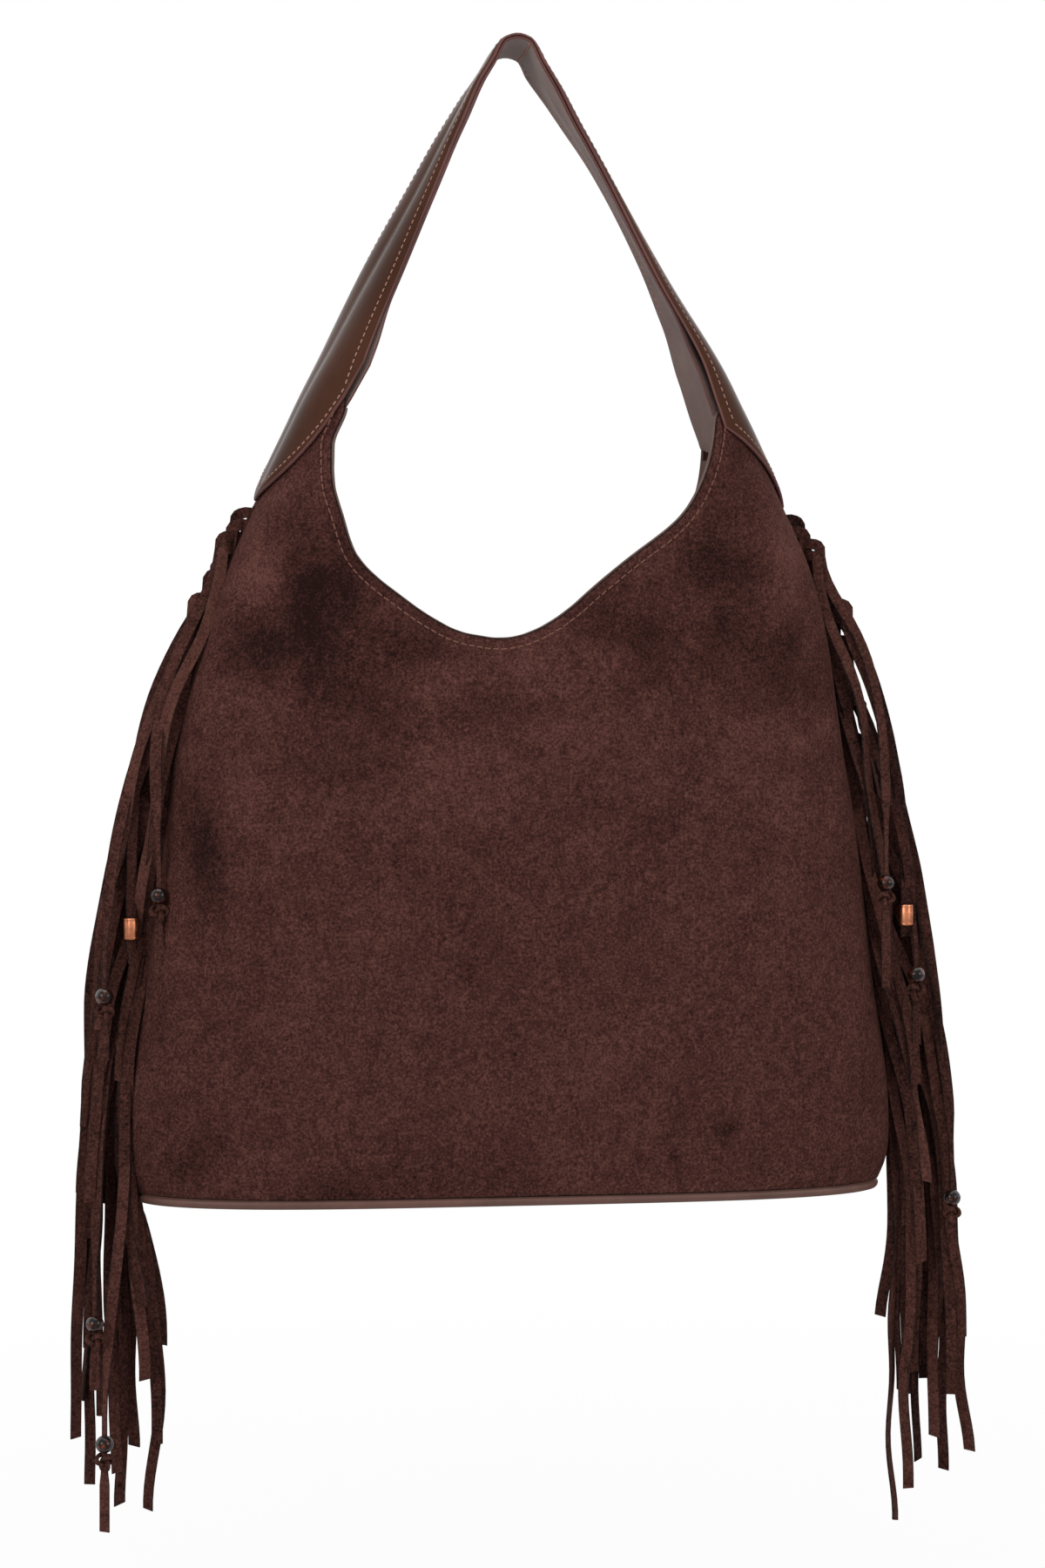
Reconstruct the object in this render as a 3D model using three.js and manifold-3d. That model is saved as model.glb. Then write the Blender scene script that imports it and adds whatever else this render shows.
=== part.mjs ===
// Fringed suede shoulder bag, in millimetres, +Z up, front towards -Y.
// The origin is where the bag hangs: the middle of the underside of the strap.
// Heights in this file are measured from the underside of the base, and the whole bag is lowered at the end.

import * as THREE from "three";
import { mergeVertices } from "three/addons/utils/BufferGeometryUtils.js";
import Module from "manifold-3d";

const wasm = await Module();
wasm.setup();

// Thicknesses and clearances
const sewnGap = 0.3;
const strapGap = 0.6;
const suedeThickness = 1.6;
const strapOuterThickness = 1.8;
const strapLiningThickness = 1.2;
const facingThickness = 1;
const liningThickness = 0.8;
const fringeThickness = 1;
const baseThickness = 4.5;
const baseSoftening = 1.2;
const liningSlack = 1.8;

// The body's section is a rounded box: the higher this power, the squarer its corners
const sectionPower = 4;

// Half width of the body at its base
const baseHalfWidth = 170;

// Side profile of the body, as height and how much wider it is there than at the base
const sideStations = [
  [0, 0],
  [14, 6],
  [35, 7],
  [107, -2],
  [190, -13],
  [250, -24.5],
  [286, -35.5],
];

// Half depth of the body at each height
const depthStations = [
  [0, 47],
  [40, 51],
  [130, 52],
  [252, 42],
  [363, 56],
];

// Strap: a pointed arch that folds round the upper corners of the body
const strapFootHeight = 316;
const strapFootHalfWidth = 121;
const strapTopHeight = 526;
const strapFlatLength = 12;
const strapTopReach = 8;
const strapLegReach = 109;
const strapLegSlant = THREE.MathUtils.degToRad(25.8);
const strapTopHalfDepth = 19;
const strapEndHalfDepth = 42;
const strapWideningTop = 490;
const strapWideningBottom = 355;
const strapFoldTop = 500;
const strapTopFoldDepth = 31;
const strapEndRise = 32;
const strapLiningStep = 50;

// Mouth of the body
const mouthHeight = 251;
const mouthRise = 104;
const mouthWingShare = 0.84;
const mouthCurve = 1.9;
const facingDrop = 25;
const facingSideHeight = 300;
const facingMargin = 1.2;

// Fringe: a strip sewn in each side seam and cut into strands
const fringeTopHeight = 313;
const fringeBottomHeight = 45;
const strandPitch = 5.6;
const strandSlit = 0.6;
const strandThickness = 0.9;
const strandLength = 195;
const strandLengthSpread = 9;
const headerInside = 1.4;
const headerOutside = 1.2;
const strandRun = 3.4;
const strandBend = 3.5;
const strandSpread = 0.115;
const strandLevelPitch = 55;
const layerPitchBeside = 1.6;
const layerPitchBelow = 2.9;
const bunchInset = 22;
const bunchTurnHeight = 30;
const bunchTurnDepth = 130;
const bunchBias = 8;
const layerOrder = [4, 7, 1, 5, 9, 2, 6, 0, 8, 3];
const layerBias = [0.2, -0.9, 0.7, -0.4, 1, -0.7, 0.5, -1, 0.8, -0.2];

// Beads and sleeves
const beadDiameter = 8;
const beadBore = 3.2;
const threadedWidth = 2.2;
const threadedLead = 4;
const knotDiameter = 5.2;
const sleeveDiameter = 6.8;
const sleeveWall = 0.6;
const sleeveLength = 9.6;
const sleeveStub = 5;

// Each threaded strand: its number from the top, how far below its root the piece hangs,
// and how far the piece stands out from the side of the body and forward of the seam
const threadedStrands = [
  { side: -1, name: "sleeve_left", strand: 0, drop: 187.2, out: 8.1, forward: 16 },
  { side: -1, name: "bead_left_1", strand: 2, drop: 161, out: -2, forward: 25 },
  { side: -1, name: "bead_left_2", strand: 8, drop: 171.4, out: 16.3, forward: 30 },
  { side: -1, name: "bead_left_3", strand: 34, drop: 171.8, out: 12.9, forward: 18 },
  { side: -1, name: "bead_left_4", strand: 43, drop: 172.4, out: 8.9, forward: 30 },
  { side: 1, name: "sleeve_right", strand: 0, drop: 183.2, out: 15.6, forward: 20 },
  { side: 1, name: "bead_right_1", strand: 2, drop: 157, out: 6.5, forward: 25 },
  { side: 1, name: "bead_right_2", strand: 8, drop: 165.4, out: 14.1, forward: 30 },
  { side: 1, name: "bead_right_3", strand: 26, drop: 168.6, out: 25.9, forward: 20 },
];

// Inside of the bag
const pocketSteps = 10;
const pocketBottomHeight = 110;
const pocketTopHeight = 205;
const snapDiameter = 18;
const snapThickness = 2.4;
const snapStudDiameter = 8;
const snapStudLength = 1.6;

// Number of steps along each surface
const panelStepsAcross = 24;
const panelStepsUp = 11;
const strapStepsUp = 13;
const strapStepsAcross = 10;
const facingStepsUp = 3;
const liningStepsUp = 6;
const pocketStepsUp = 4;
const shoulderSteps = 2;
const threadedSteps = 4;
const beadSteps = 12;
const beadArcSteps = 6;
const knotSteps = 8;
const fringeSeeds = { left: 4201, right: 977 };

// Accuracy of the numeric steps
const normalStep = 0.001;
const halvings = 30;
const mergeDistance = 0.0001;

// Values that follow from the ones above
const strandWidth = strandPitch - strandSlit;
const liningInset = suedeThickness + 3 * sewnGap;
const layerCount = layerOrder.length;

const ease = THREE.MathUtils.smoothstep;
const mix = THREE.MathUtils.lerp;

// A smooth curve through stations of height and value, with a set slope above the last one
function throughStations(stations, endSlope) {
  const slopeBetween = (i) => (stations[i + 1][1] - stations[i][1]) / (stations[i + 1][0] - stations[i][0]);
  const last = stations.length - 1;
  const slopes = stations.map((station, i) => {
    if (i === 0) return slopeBetween(0);
    if (i === last) return endSlope ?? slopeBetween(last - 1);
    return (slopeBetween(i - 1) + slopeBetween(i)) / 2;
  });
  return (height) => {
    let i = 0;
    while (i < last - 1 && height > stations[i + 1][0]) i += 1;
    const [low, high] = [stations[i], stations[i + 1]];
    const step = high[0] - low[0];
    const t = THREE.MathUtils.clamp((height - low[0]) / step, 0, 1);
    const fromLow = low[1] * (1 + 2 * t) * (1 - t) ** 2 + slopes[i] * step * t * (1 - t) ** 2;
    const fromHigh = high[1] * t * t * (3 - 2 * t) - slopes[i + 1] * step * t * t * (1 - t);
    return fromLow + fromHigh;
  };
}

// Half of the strap's arch, from its foot on the side seam to the flat at the top
const strapArch = new THREE.CubicBezierCurve(
  new THREE.Vector2(strapFootHalfWidth, strapFootHeight),
  new THREE.Vector2(
    strapFootHalfWidth - strapLegReach * Math.sin(strapLegSlant),
    strapFootHeight + strapLegReach * Math.cos(strapLegSlant),
  ),
  new THREE.Vector2(strapFlatLength / 2 + strapTopReach, strapTopHeight),
  new THREE.Vector2(strapFlatLength / 2, strapTopHeight),
);

// Where on the arch a height lies, from 0 at the foot to 1 at the flat
function archShare(height) {
  let low = 0;
  let high = 1;
  for (let round = 0; round < halvings; round += 1) {
    const middle = (low + high) / 2;
    if (strapArch.getPoint(middle).y < height) low = middle;
    else high = middle;
  }
  return low;
}

const bodySide = throughStations(
  [
    ...sideStations.map(([height, wider]) => [height, baseHalfWidth + wider]),
    [strapFootHeight, strapFootHalfWidth],
  ],
  -Math.tan(strapLegSlant),
);
const bodyDepth = throughStations(depthStations, 0);
const sideAt = (height) =>
  height < strapFootHeight ? bodySide(height) : strapArch.getPoint(archShare(height)).x;

// The fold of the strap opens from the body's depth to nearly flat at the top
const widestDepthHeight = depthStations.at(-1)[0];
function depthAt(height) {
  if (height <= widestDepthHeight) return bodyDepth(height);
  const opened = ease(height, widestDepthHeight, strapFoldTop);
  return mix(bodyDepth(widestDepthHeight), strapTopFoldDepth, opened);
}

// Point of the hull at a share round the front (-1 left seam, 0 middle, 1 right seam) and a height
function hullPoint(share, height) {
  const across = Math.sin((share * Math.PI) / 2);
  const out = Math.sqrt(Math.max(0, 1 - across ** sectionPower));
  return new THREE.Vector3(across * sideAt(height), -depthAt(height) * out, height);
}

// Moves a surface point inwards along the surface's own normal
function insetPoint(surface, a, b, inset) {
  const step = normalStep;
  const alongA = surface(a + step, b).sub(surface(a - step, b));
  const alongB = surface(a, b + step).sub(surface(a, b - step));
  const normal = alongA.cross(alongB).normalize();
  return surface(a, b).addScaledVector(normal, -inset);
}

const bodyPoint = (share, height, inset) => insetPoint(hullPoint, share, height, inset);

// Closed solid from a list of rows of points on each of its two faces
function sheetGeometry(outer, inner) {
  const rows = outer.length;
  const columns = outer[0].length;
  const vertices = [...outer.flat(), ...inner.flat()];
  const offset = rows * columns;
  const faces = [];
  const quad = (a, b, c, d) => faces.push(a, b, c, a, c, d);
  for (let r = 0; r < rows - 1; r += 1) {
    for (let c = 0; c < columns - 1; c += 1) {
      const corner = r * columns + c;
      quad(corner, corner + 1, corner + columns + 1, corner + columns);
      quad(offset + corner, offset + corner + columns, offset + corner + columns + 1, offset + corner + 1);
    }
  }
  const rim = [];
  for (let c = 0; c < columns - 1; c += 1) rim.push(c);
  for (let r = 0; r < rows - 1; r += 1) rim.push(r * columns + columns - 1);
  for (let c = columns - 1; c > 0; c -= 1) rim.push((rows - 1) * columns + c);
  for (let r = rows - 1; r > 0; r -= 1) rim.push(r * columns);
  rim.forEach((start, i) => {
    const end = rim[(i + 1) % rim.length];
    quad(start, offset + start, offset + end, end);
  });
  return indexedGeometry(vertices, faces);
}

function indexedGeometry(vertices, faces) {
  const geometry = new THREE.BufferGeometry();
  const positions = vertices.flatMap((vertex) => vertex.toArray());
  geometry.setAttribute("position", new THREE.Float32BufferAttribute(positions, 3));
  geometry.setIndex(faces);
  return geometry;
}

// Rows and columns of points from a function of two shares from 0 to 1
function pointGrid(rows, columns, pointAt) {
  return Array.from({ length: rows + 1 }, (_, r) =>
    Array.from({ length: columns + 1 }, (_, c) => pointAt(c / columns, r / rows)),
  );
}

// A sheet that follows the front of the hull between two insets, two height limits and two edges
function wallSheet({ from, to, bottom, top, inset, thickness, across, up }) {
  const face = (depth) =>
    pointGrid(up, across, (u, v) => {
      const share = mix(from, to, u);
      return bodyPoint(share, mix(bottom(share), top(share), v), depth);
    });
  return sheetGeometry(face(inset), face(inset + thickness));
}

const turned = (geometry) => geometry.clone().rotateZ(Math.PI);

// Edges of the body's pieces, each as a height for a share round the hull
const acrossShare = (share) => Math.abs(Math.sin((share * Math.PI) / 2));
const mouthEdge = (share) =>
  mouthHeight + mouthRise * Math.min(acrossShare(share) / mouthWingShare, 1) ** mouthCurve;
function strapEndEdge(share) {
  const out = Math.sqrt(Math.max(0, 1 - acrossShare(share) ** sectionPower));
  let height = strapFootHeight;
  for (let round = 0; round < halvings; round += 1) {
    height = strapFootHeight + (strapEndRise * depthAt(height) * out) / strapHalfDepth(height);
  }
  return height;
}
const facingTopEdge = (share) => Math.min(mouthEdge(share), strapEndEdge(share) - facingMargin);
const facingBottomEdge = (share) => Math.min(mouthEdge(share) - facingDrop, facingSideHeight);
const panelBottomEdge = () => baseThickness + sewnGap;

// The panels stop short of the side seam, and the fringe strip lies between them
const seamShare = 1 - (2 * (fringeThickness / 2 + sewnGap)) / (Math.PI * Math.SQRT2 * bodyDepth(mouthHeight));

function panelGeometry() {
  return wallSheet({
    from: -seamShare,
    to: seamShare,
    bottom: panelBottomEdge,
    top: mouthEdge,
    inset: 0,
    thickness: suedeThickness,
    across: panelStepsAcross,
    up: panelStepsUp,
  });
}

function facingGeometry() {
  return wallSheet({
    from: -seamShare,
    to: seamShare,
    bottom: facingBottomEdge,
    top: facingTopEdge,
    inset: liningInset,
    thickness: facingThickness,
    across: panelStepsAcross,
    up: facingStepsUp,
  });
}

function pocketGeometry() {
  return wallSheet({
    from: -pocketSteps / panelStepsAcross,
    to: pocketSteps / panelStepsAcross,
    bottom: () => pocketBottomHeight,
    top: () => pocketTopHeight,
    inset: liningInset + liningSlack + liningThickness + 2 * sewnGap,
    thickness: liningThickness,
    across: pocketSteps,
    up: pocketStepsUp,
  });
}

// Closed solid from rings of points, with the first and last ring closed by a fan to its own middle
function ringGeometry(rings, firstMiddle, lastMiddle) {
  const count = rings[0].length;
  const vertices = [firstMiddle, ...rings.flat(), lastMiddle];
  const faces = [];
  for (let c = 0; c < count; c += 1) {
    const next = (c + 1) % count;
    faces.push(0, 1 + next, 1 + c);
    for (let r = 0; r < rings.length - 1; r += 1) {
      const [low, high] = [1 + r * count, 1 + (r + 1) * count];
      faces.push(low + c, low + next, high + next, low + c, high + next, high + c);
    }
    const lastRing = 1 + (rings.length - 1) * count;
    faces.push(lastRing + c, lastRing + next, vertices.length - 1);
  }
  return indexedGeometry(vertices, faces);
}

// One ring round the hull at an inset, with the height at each share from a function
function hullRing(steps, heightAt, inset) {
  const ring = [];
  for (const side of [1, -1]) {
    for (let i = 0; i <= steps; i += 1) {
      const share = mix(-seamShare, seamShare, i / steps);
      const point = bodyPoint(share, heightAt(share), inset);
      ring.push(new THREE.Vector3(side * point.x, side * point.y, point.z));
    }
  }
  return ring;
}

// The lining is a fabric bucket under the facings
function liningGeometry() {
  const steps = panelStepsAcross;
  const levels = liningStepsUp;
  const wallInset = liningInset + liningSlack;
  const floor = baseThickness + sewnGap;
  const top = (share) => facingBottomEdge(share) - 3 * sewnGap;
  const wall = (inset, bottom) =>
    Array.from({ length: levels + 1 }, (_, i) =>
      hullRing(steps, (share) => mix(bottom, top(share), i / levels), inset),
    );
  const outer = wall(wallInset, floor);
  const inner = wall(wallInset + liningThickness, floor + liningThickness).reverse();
  const outerMiddle = new THREE.Vector3(0, 0, floor);
  const innerMiddle = new THREE.Vector3(0, 0, floor + liningThickness);
  return ringGeometry([...outer, ...inner], outerMiddle, innerMiddle);
}

// The base is a stiff board in leather, with softened edges
function baseGeometry() {
  const ringAt = (height, inset) =>
    hullRing(panelStepsAcross, () => baseThickness, inset).map((point) => point.setZ(height));
  const rings = [
    ringAt(0, baseSoftening),
    ringAt(baseSoftening, 0),
    ringAt(baseThickness - baseSoftening, 0),
    ringAt(baseThickness, baseSoftening / 2),
  ];
  return ringGeometry(rings, new THREE.Vector3(0, 0, 0), new THREE.Vector3(0, 0, baseThickness));
}

// Half depth of the strap at a height
function strapHalfDepth(height) {
  const share = 1 - ease(height, strapWideningBottom, strapWideningTop);
  return mix(strapTopHalfDepth, strapEndHalfDepth, share);
}

// Point of the right half of the strap: across from -1 at the front edge to 1, up the arch from 0 to 1
function strapPoint(across, share) {
  const arch = strapArch.getPoint(share);
  const y = across * strapHalfDepth(arch.y);
  const fold = (1 - (y / depthAt(arch.y)) ** 2) ** (1 / sectionPower);
  return new THREE.Vector3(arch.x * fold, y, arch.y);
}

// A layer of the strap between two insets, with pointed ends and the inset set by height
function strapLayer(insetAt, thickness) {
  const face = (depth) => {
    const half = pointGrid(strapStepsUp, strapStepsAcross, (u, v) => {
      const across = mix(-1, 1, u);
      const end = archShare(strapFootHeight + strapEndRise * Math.abs(across));
      const share = mix(end, 1, v);
      return insetPoint(strapPoint, across, share, insetAt(strapPoint(across, share).z) + depth);
    });
    const mirrored = half.map((row) => row.map((point) => point.clone().setX(-point.x))).reverse();
    return [...half, ...mirrored];
  };
  return sheetGeometry(face(0), face(thickness));
}

// The strap's lining lies behind the outer layer, and behind the wing where the wing lies between them
function strapLiningInset(height) {
  const wingTop = mouthHeight + mouthRise;
  const free = ease(height, wingTop + strapLiningStep / 2, wingTop + strapLiningStep);
  return liningInset * (1 - free);
}

// Halves of the magnetic closure, turned about an axis that points into the bag
function snapGeometry(hasStud) {
  const outer = snapDiameter / 2;
  const inner = snapStudDiameter / 2;
  const middle = hasStud
    ? [[inner, snapThickness], [inner, snapThickness + snapStudLength], [0, snapThickness + snapStudLength]]
    : [[inner, snapThickness], [inner, snapThickness - snapStudLength], [0, snapThickness - snapStudLength]];
  const profile = [[0, 0], [outer, 0], [outer, snapThickness], ...middle];
  return new THREE.LatheGeometry(profile.map(([x, y]) => new THREE.Vector2(x, y)), beadSteps);
}

// Seats a piece turned about its own Y axis on the inner face of the facing
function seatOnFacing(geometry) {
  const height = mouthHeight - facingDrop / 2;
  const facingInset = liningInset + facingThickness;
  const seat = bodyPoint(0, height, facingInset + sewnGap);
  const inward = seat.clone().sub(bodyPoint(0, height, facingInset)).normalize();
  const turn = new THREE.Quaternion().setFromUnitVectors(new THREE.Vector3(0, 1, 0), inward);
  return geometry.applyQuaternion(turn).translate(seat.x, seat.y, seat.z);
}

// Repeatable random numbers from 0 to 1
function randomNumbers(seed) {
  let state = seed;
  return () => {
    state = (state * 16807) % 2147483647;
    return state / 2147483647;
  };
}

// Corners of a strand at each of its stations of { x, y, z, width }, outer and inner edge on each face
function strandRings(stations) {
  const points = stations.map(({ x, y, z }) => new THREE.Vector3(x, y, z));
  return points.slice(1).map((point, i) => {
    const onwards = (points[i + 2] ?? point).clone().sub(points[i]);
    const wide = onwards.cross(new THREE.Vector3(0, 1, 0)).normalize();
    wide.multiplyScalar(stations[i + 1].width / 2);
    const thick = new THREE.Vector3(0, strandThickness / 2, 0);
    return [
      point.clone().add(wide).sub(thick),
      point.clone().sub(wide).sub(thick),
      point.clone().sub(wide).add(thick),
      point.clone().add(wide).add(thick),
    ];
  });
}

// Share of the way that the strands are drawn in under the body, 0 beside it and 1 well below it
const drawnIn = (height) => 1 - ease(height, bunchTurnHeight - bunchTurnDepth, bunchTurnHeight);

const rootHeight = (strand) => fringeTopHeight - strandPitch * (strand + 0.5);

// Where a threaded piece hangs, for the right side
function threadedPlace({ strand, drop, out, forward }) {
  const height = rootHeight(strand) - drop;
  return new THREE.Vector3(sideAt(Math.max(height, bunchTurnHeight)) + out, -forward, height);
}

// The shoulder of a strand: straight out of the seam, then bent down, in its own layer
function shoulderStations(root, layer) {
  const y = layer * layerPitchBeside;
  const side = sideAt(root);
  const stations = [
    { x: side + headerOutside, y: 0, z: root, width: strandWidth },
    { x: side + strandRun, y, z: root, width: strandWidth },
  ];
  for (let i = 1; i <= shoulderSteps; i += 1) {
    const angle = ((Math.PI / 2) * i) / shoulderSteps;
    stations.push({
      x: side + strandRun + strandBend * Math.sin(angle),
      y,
      z: root - strandBend * (1 - Math.cos(angle)),
      width: strandWidth,
    });
  }
  return stations;
}

// Place of a hanging strand at a drop below its root, along the side of the body and then in under it
function hangingPlace(root, layer, drop, bias) {
  const height = root - drop;
  const turn = drawnIn(height);
  const beside = sideAt(Math.max(height, bunchTurnHeight)) + strandRun + strandBend;
  return {
    x: beside + strandSpread * (drop - strandBend) + (bias - bunchInset) * turn,
    y: layer * mix(layerPitchBeside, layerPitchBelow, turn),
    z: height,
    width: strandWidth,
  };
}

function plainStrand(root, layer, bias, dropAtTip) {
  const stations = shoulderStations(root, layer);
  let level = strandLevelPitch * Math.ceil((root - strandBend - strandWidth) / strandLevelPitch - 1);
  for (; level > root - dropAtTip + strandWidth; level -= strandLevelPitch) {
    stations.push(hangingPlace(root, layer, root - level, bias));
  }
  stations.push(hangingPlace(root, layer, dropAtTip, bias));
  return strandRings(stations);
}

// A strand that leaves the bunch to the front and carries a bead over a knot, or a sleeve near its end
function threadedStrand(root, order, piece, dropAtTip) {
  const layer = -(layerCount / 2 + 0.5 + (order % 2));
  const isBead = piece.name.startsWith("bead");
  const held = threadedPlace(piece);
  const topHeight = held.z + (isBead ? beadDiameter : sleeveLength) / 2 + threadedLead;
  const tipHeight = isBead ? root - dropAtTip : held.z - sleeveLength / 2 - sleeveStub;
  const stations = shoulderStations(root, layer);
  const dropAtTop = root - topHeight;
  for (let i = 1; i <= threadedSteps; i += 1) {
    const share = i / threadedSteps;
    const place = hangingPlace(root, layer, mix(strandBend, dropAtTop, share), 0);
    place.x = mix(place.x, held.x, ease(share, 0, 1));
    place.y = mix(layer * layerPitchBeside, held.y, share);
    stations.push(place);
  }
  const hangAt = (z, width) => stations.push({ x: held.x, y: held.y, z, width });
  if (isBead) {
    const reach = beadDiameter / 2 + sewnGap;
    hangAt(held.z + reach, threadedWidth);
    hangAt(held.z - reach, threadedWidth);
    hangAt(held.z - reach - knotDiameter, strandWidth);
  }
  hangAt(tipHeight, strandWidth);
  return strandRings(stations);
}

const beadBottomToKnot = beadDiameter / 2 + sewnGap + knotDiameter / 2;

function knotGeometry(piece) {
  const knot = new THREE.SphereGeometry(knotDiameter / 2, knotSteps, knotSteps - 2);
  knot.rotateX(Math.PI / 2);
  const held = threadedPlace(piece);
  return knot.translate(piece.side * held.x, held.y, held.z - beadBottomToKnot);
}

// The strip of the fringe, its uncut edge along the seam and every strand growing out of it
function combGeometry(side, roots, strands) {
  const vertices = [];
  const faces = [];
  const quad = (a, b, c, d) => faces.push(...(side > 0 ? [a, b, c, a, c, d] : [a, c, b, a, d, c]));
  const addRing = (ring) => vertices.push(...ring.map((point) => point.setX(side * point.x))) - ring.length;
  const joinRings = (low, high, skipped) => {
    for (let corner = 0; corner < 4; corner += 1) {
      const next = (corner + 1) % 4;
      if (corner !== skipped) quad(low + corner, high + corner, high + next, low + next);
    }
  };
  const sectionAt = (height) =>
    [[-headerInside, -1], [headerOutside, -1], [headerOutside, 1], [-headerInside, 1]].map(
      ([out, face]) => new THREE.Vector3(sideAt(height) + out, (face * fringeThickness) / 2, height),
    );
  const top = addRing(sectionAt(fringeTopHeight));
  quad(top, top + 1, top + 2, top + 3);
  let last = top;
  roots.forEach((root, i) => {
    const upper = addRing(sectionAt(root + strandWidth / 2));
    const lower = addRing(sectionAt(root - strandWidth / 2));
    joinRings(last, upper);
    joinRings(upper, lower, 1);
    last = lower;
    let ring = [upper + 1, lower + 1, lower + 2, upper + 2];
    for (const corners of strands[i]) {
      const start = addRing(corners);
      const next = [start, start + 1, start + 2, start + 3];
      for (let c = 0; c < 4; c += 1) {
        const d = (c + 1) % 4;
        quad(ring[c], ring[d], next[d], next[c]);
      }
      ring = next;
    }
    quad(...ring);
  });
  const bottom = addRing(sectionAt(fringeBottomHeight - strandPitch));
  joinRings(last, bottom);
  quad(bottom, bottom + 3, bottom + 2, bottom + 1);
  return indexedGeometry(vertices, faces);
}

function toSolid(geometry) {
  const bare = geometry.clone();
  bare.deleteAttribute("normal");
  bare.deleteAttribute("uv");
  const merged = mergeVertices(bare, mergeDistance);
  const mesh = new wasm.Mesh({
    numProp: 3,
    vertProperties: new Float32Array(merged.attributes.position.array),
    triVerts: new Uint32Array(merged.index.array),
  });
  return new wasm.Manifold(mesh);
}

function fromSolid(solid) {
  const mesh = solid.getMesh();
  const geometry = new THREE.BufferGeometry();
  geometry.setAttribute("position", new THREE.BufferAttribute(mesh.vertProperties, 3));
  geometry.setIndex(new THREE.BufferAttribute(mesh.triVerts, 1));
  return geometry;
}

// A whole fringe, with the knots under its beads
function fringeGeometry(side, seed) {
  const random = randomNumbers(seed);
  const threaded = threadedStrands.filter((piece) => piece.side === side);
  const strandCount = Math.floor((fringeTopHeight - fringeBottomHeight) / strandPitch);
  const shoulderTravel = strandRun + (strandBend * Math.PI) / 2 - strandBend;
  const roots = Array.from({ length: strandCount }, (_, i) => rootHeight(i));
  const strands = roots.map((root, i) => {
    const dropAtTip = strandLength - shoulderTravel + strandLengthSpread * (2 * random() - 1);
    const order = threaded.findIndex((piece) => piece.strand === i);
    if (order >= 0) return threadedStrand(root, order, threaded[order], dropAtTip);
    const slot = layerOrder[i % layerCount];
    return plainStrand(root, slot - (layerCount - 1) / 2, layerBias[slot] * bunchBias, dropAtTip);
  });
  const knots = threaded.filter((piece) => piece.name.startsWith("bead")).map(knotGeometry);
  const comb = toSolid(combGeometry(side, roots, strands));
  return fromSolid(knots.reduce((solid, knot) => solid.add(toSolid(knot)), comb));
}

// A bead is a ball with a bore up its middle
function beadGeometry() {
  const bore = beadBore / 2;
  const radius = beadDiameter / 2;
  const edge = Math.asin(bore / radius);
  const profile = [];
  for (let i = 0; i <= beadArcSteps; i += 1) {
    const angle = mix(Math.PI - edge, edge, i / beadArcSteps);
    profile.push(new THREE.Vector2(radius * Math.sin(angle), radius * Math.cos(angle)));
  }
  profile.push(profile[0].clone());
  return new THREE.LatheGeometry(profile, beadSteps).rotateX(Math.PI / 2);
}

// A sleeve is a short tube of copper
function sleeveGeometry() {
  const outer = sleeveDiameter / 2;
  const inner = outer - sleeveWall;
  const half = sleeveLength / 2;
  const corners = [[inner, -half], [outer, -half], [outer, half], [inner, half], [inner, -half]];
  const profile = corners.map(([x, y]) => new THREE.Vector2(x, y));
  return new THREE.LatheGeometry(profile, beadSteps).rotateX(Math.PI / 2);
}

const suede = { color: 0x48302b, roughness: 0.95, metalness: 0 };
const smoothLeather = { color: 0x4f3328, roughness: 0.55, metalness: 0 };
const liningLeather = { color: 0x80706c, roughness: 0.8, metalness: 0 };
const baseLeather = { color: 0x6e5046, roughness: 0.6, metalness: 0 };
const fabric = { color: 0x5a4a42, roughness: 0.95, metalness: 0 };
const darkBead = { color: 0x1c0f0d, roughness: 0.15, metalness: 0 };
const copper = { color: 0xc48058, roughness: 0.4, metalness: 1 };
const steel = { color: 0xa8a29a, roughness: 0.35, metalness: 1 };

const bag = new THREE.Group();
const strapUnderside = strapTopHeight - strapLiningThickness;
bag.position.z = -strapUnderside;

function addPiece(name, geometry, finish) {
  const mesh = new THREE.Mesh(geometry, new THREE.MeshStandardMaterial(finish));
  mesh.name = name;
  bag.add(mesh);
  return mesh;
}

addPiece("front_panel", panelGeometry(), suede);
addPiece("back_panel", turned(panelGeometry()), suede);
addPiece("base_panel", baseGeometry(), baseLeather);
const strapOutset = strapGap + strapOuterThickness;
addPiece("strap_outer", strapLayer(() => -strapOutset, strapOuterThickness), smoothLeather);
addPiece("strap_lining", strapLayer(strapLiningInset, strapLiningThickness), liningLeather);
addPiece("mouth_facing_front", facingGeometry(), liningLeather);
addPiece("mouth_facing_back", turned(facingGeometry()), liningLeather);
addPiece("lining_bag", liningGeometry(), fabric);
addPiece("inner_pocket", turned(pocketGeometry()), fabric);
addPiece("snap_socket", seatOnFacing(snapGeometry(false)), steel);
addPiece("snap_stud", turned(seatOnFacing(snapGeometry(true))), steel);
addPiece("fringe_left", fringeGeometry(-1, fringeSeeds.left), suede);
addPiece("fringe_right", fringeGeometry(1, fringeSeeds.right), suede);

for (const piece of threadedStrands) {
  const isBead = piece.name.startsWith("bead");
  const mesh = addPiece(piece.name, isBead ? beadGeometry() : sleeveGeometry(), isBead ? darkBead : copper);
  mesh.position.copy(threadedPlace(piece));
  mesh.position.x *= piece.side;
}

const group = new THREE.Group();
group.add(bag);

export default group;
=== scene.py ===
# Looks of the fringed suede shoulder bag: finer suede, leather, stitching, fringe and beads round its solids.
# Shapes are worked out in millimetres with heights above the base, then placed in metres.
import random
from math import asin, copysign, cos, exp, pi, radians, sin, sqrt, tan, tau

import bpy
import numpy as np
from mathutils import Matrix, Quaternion, Vector, noise


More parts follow.
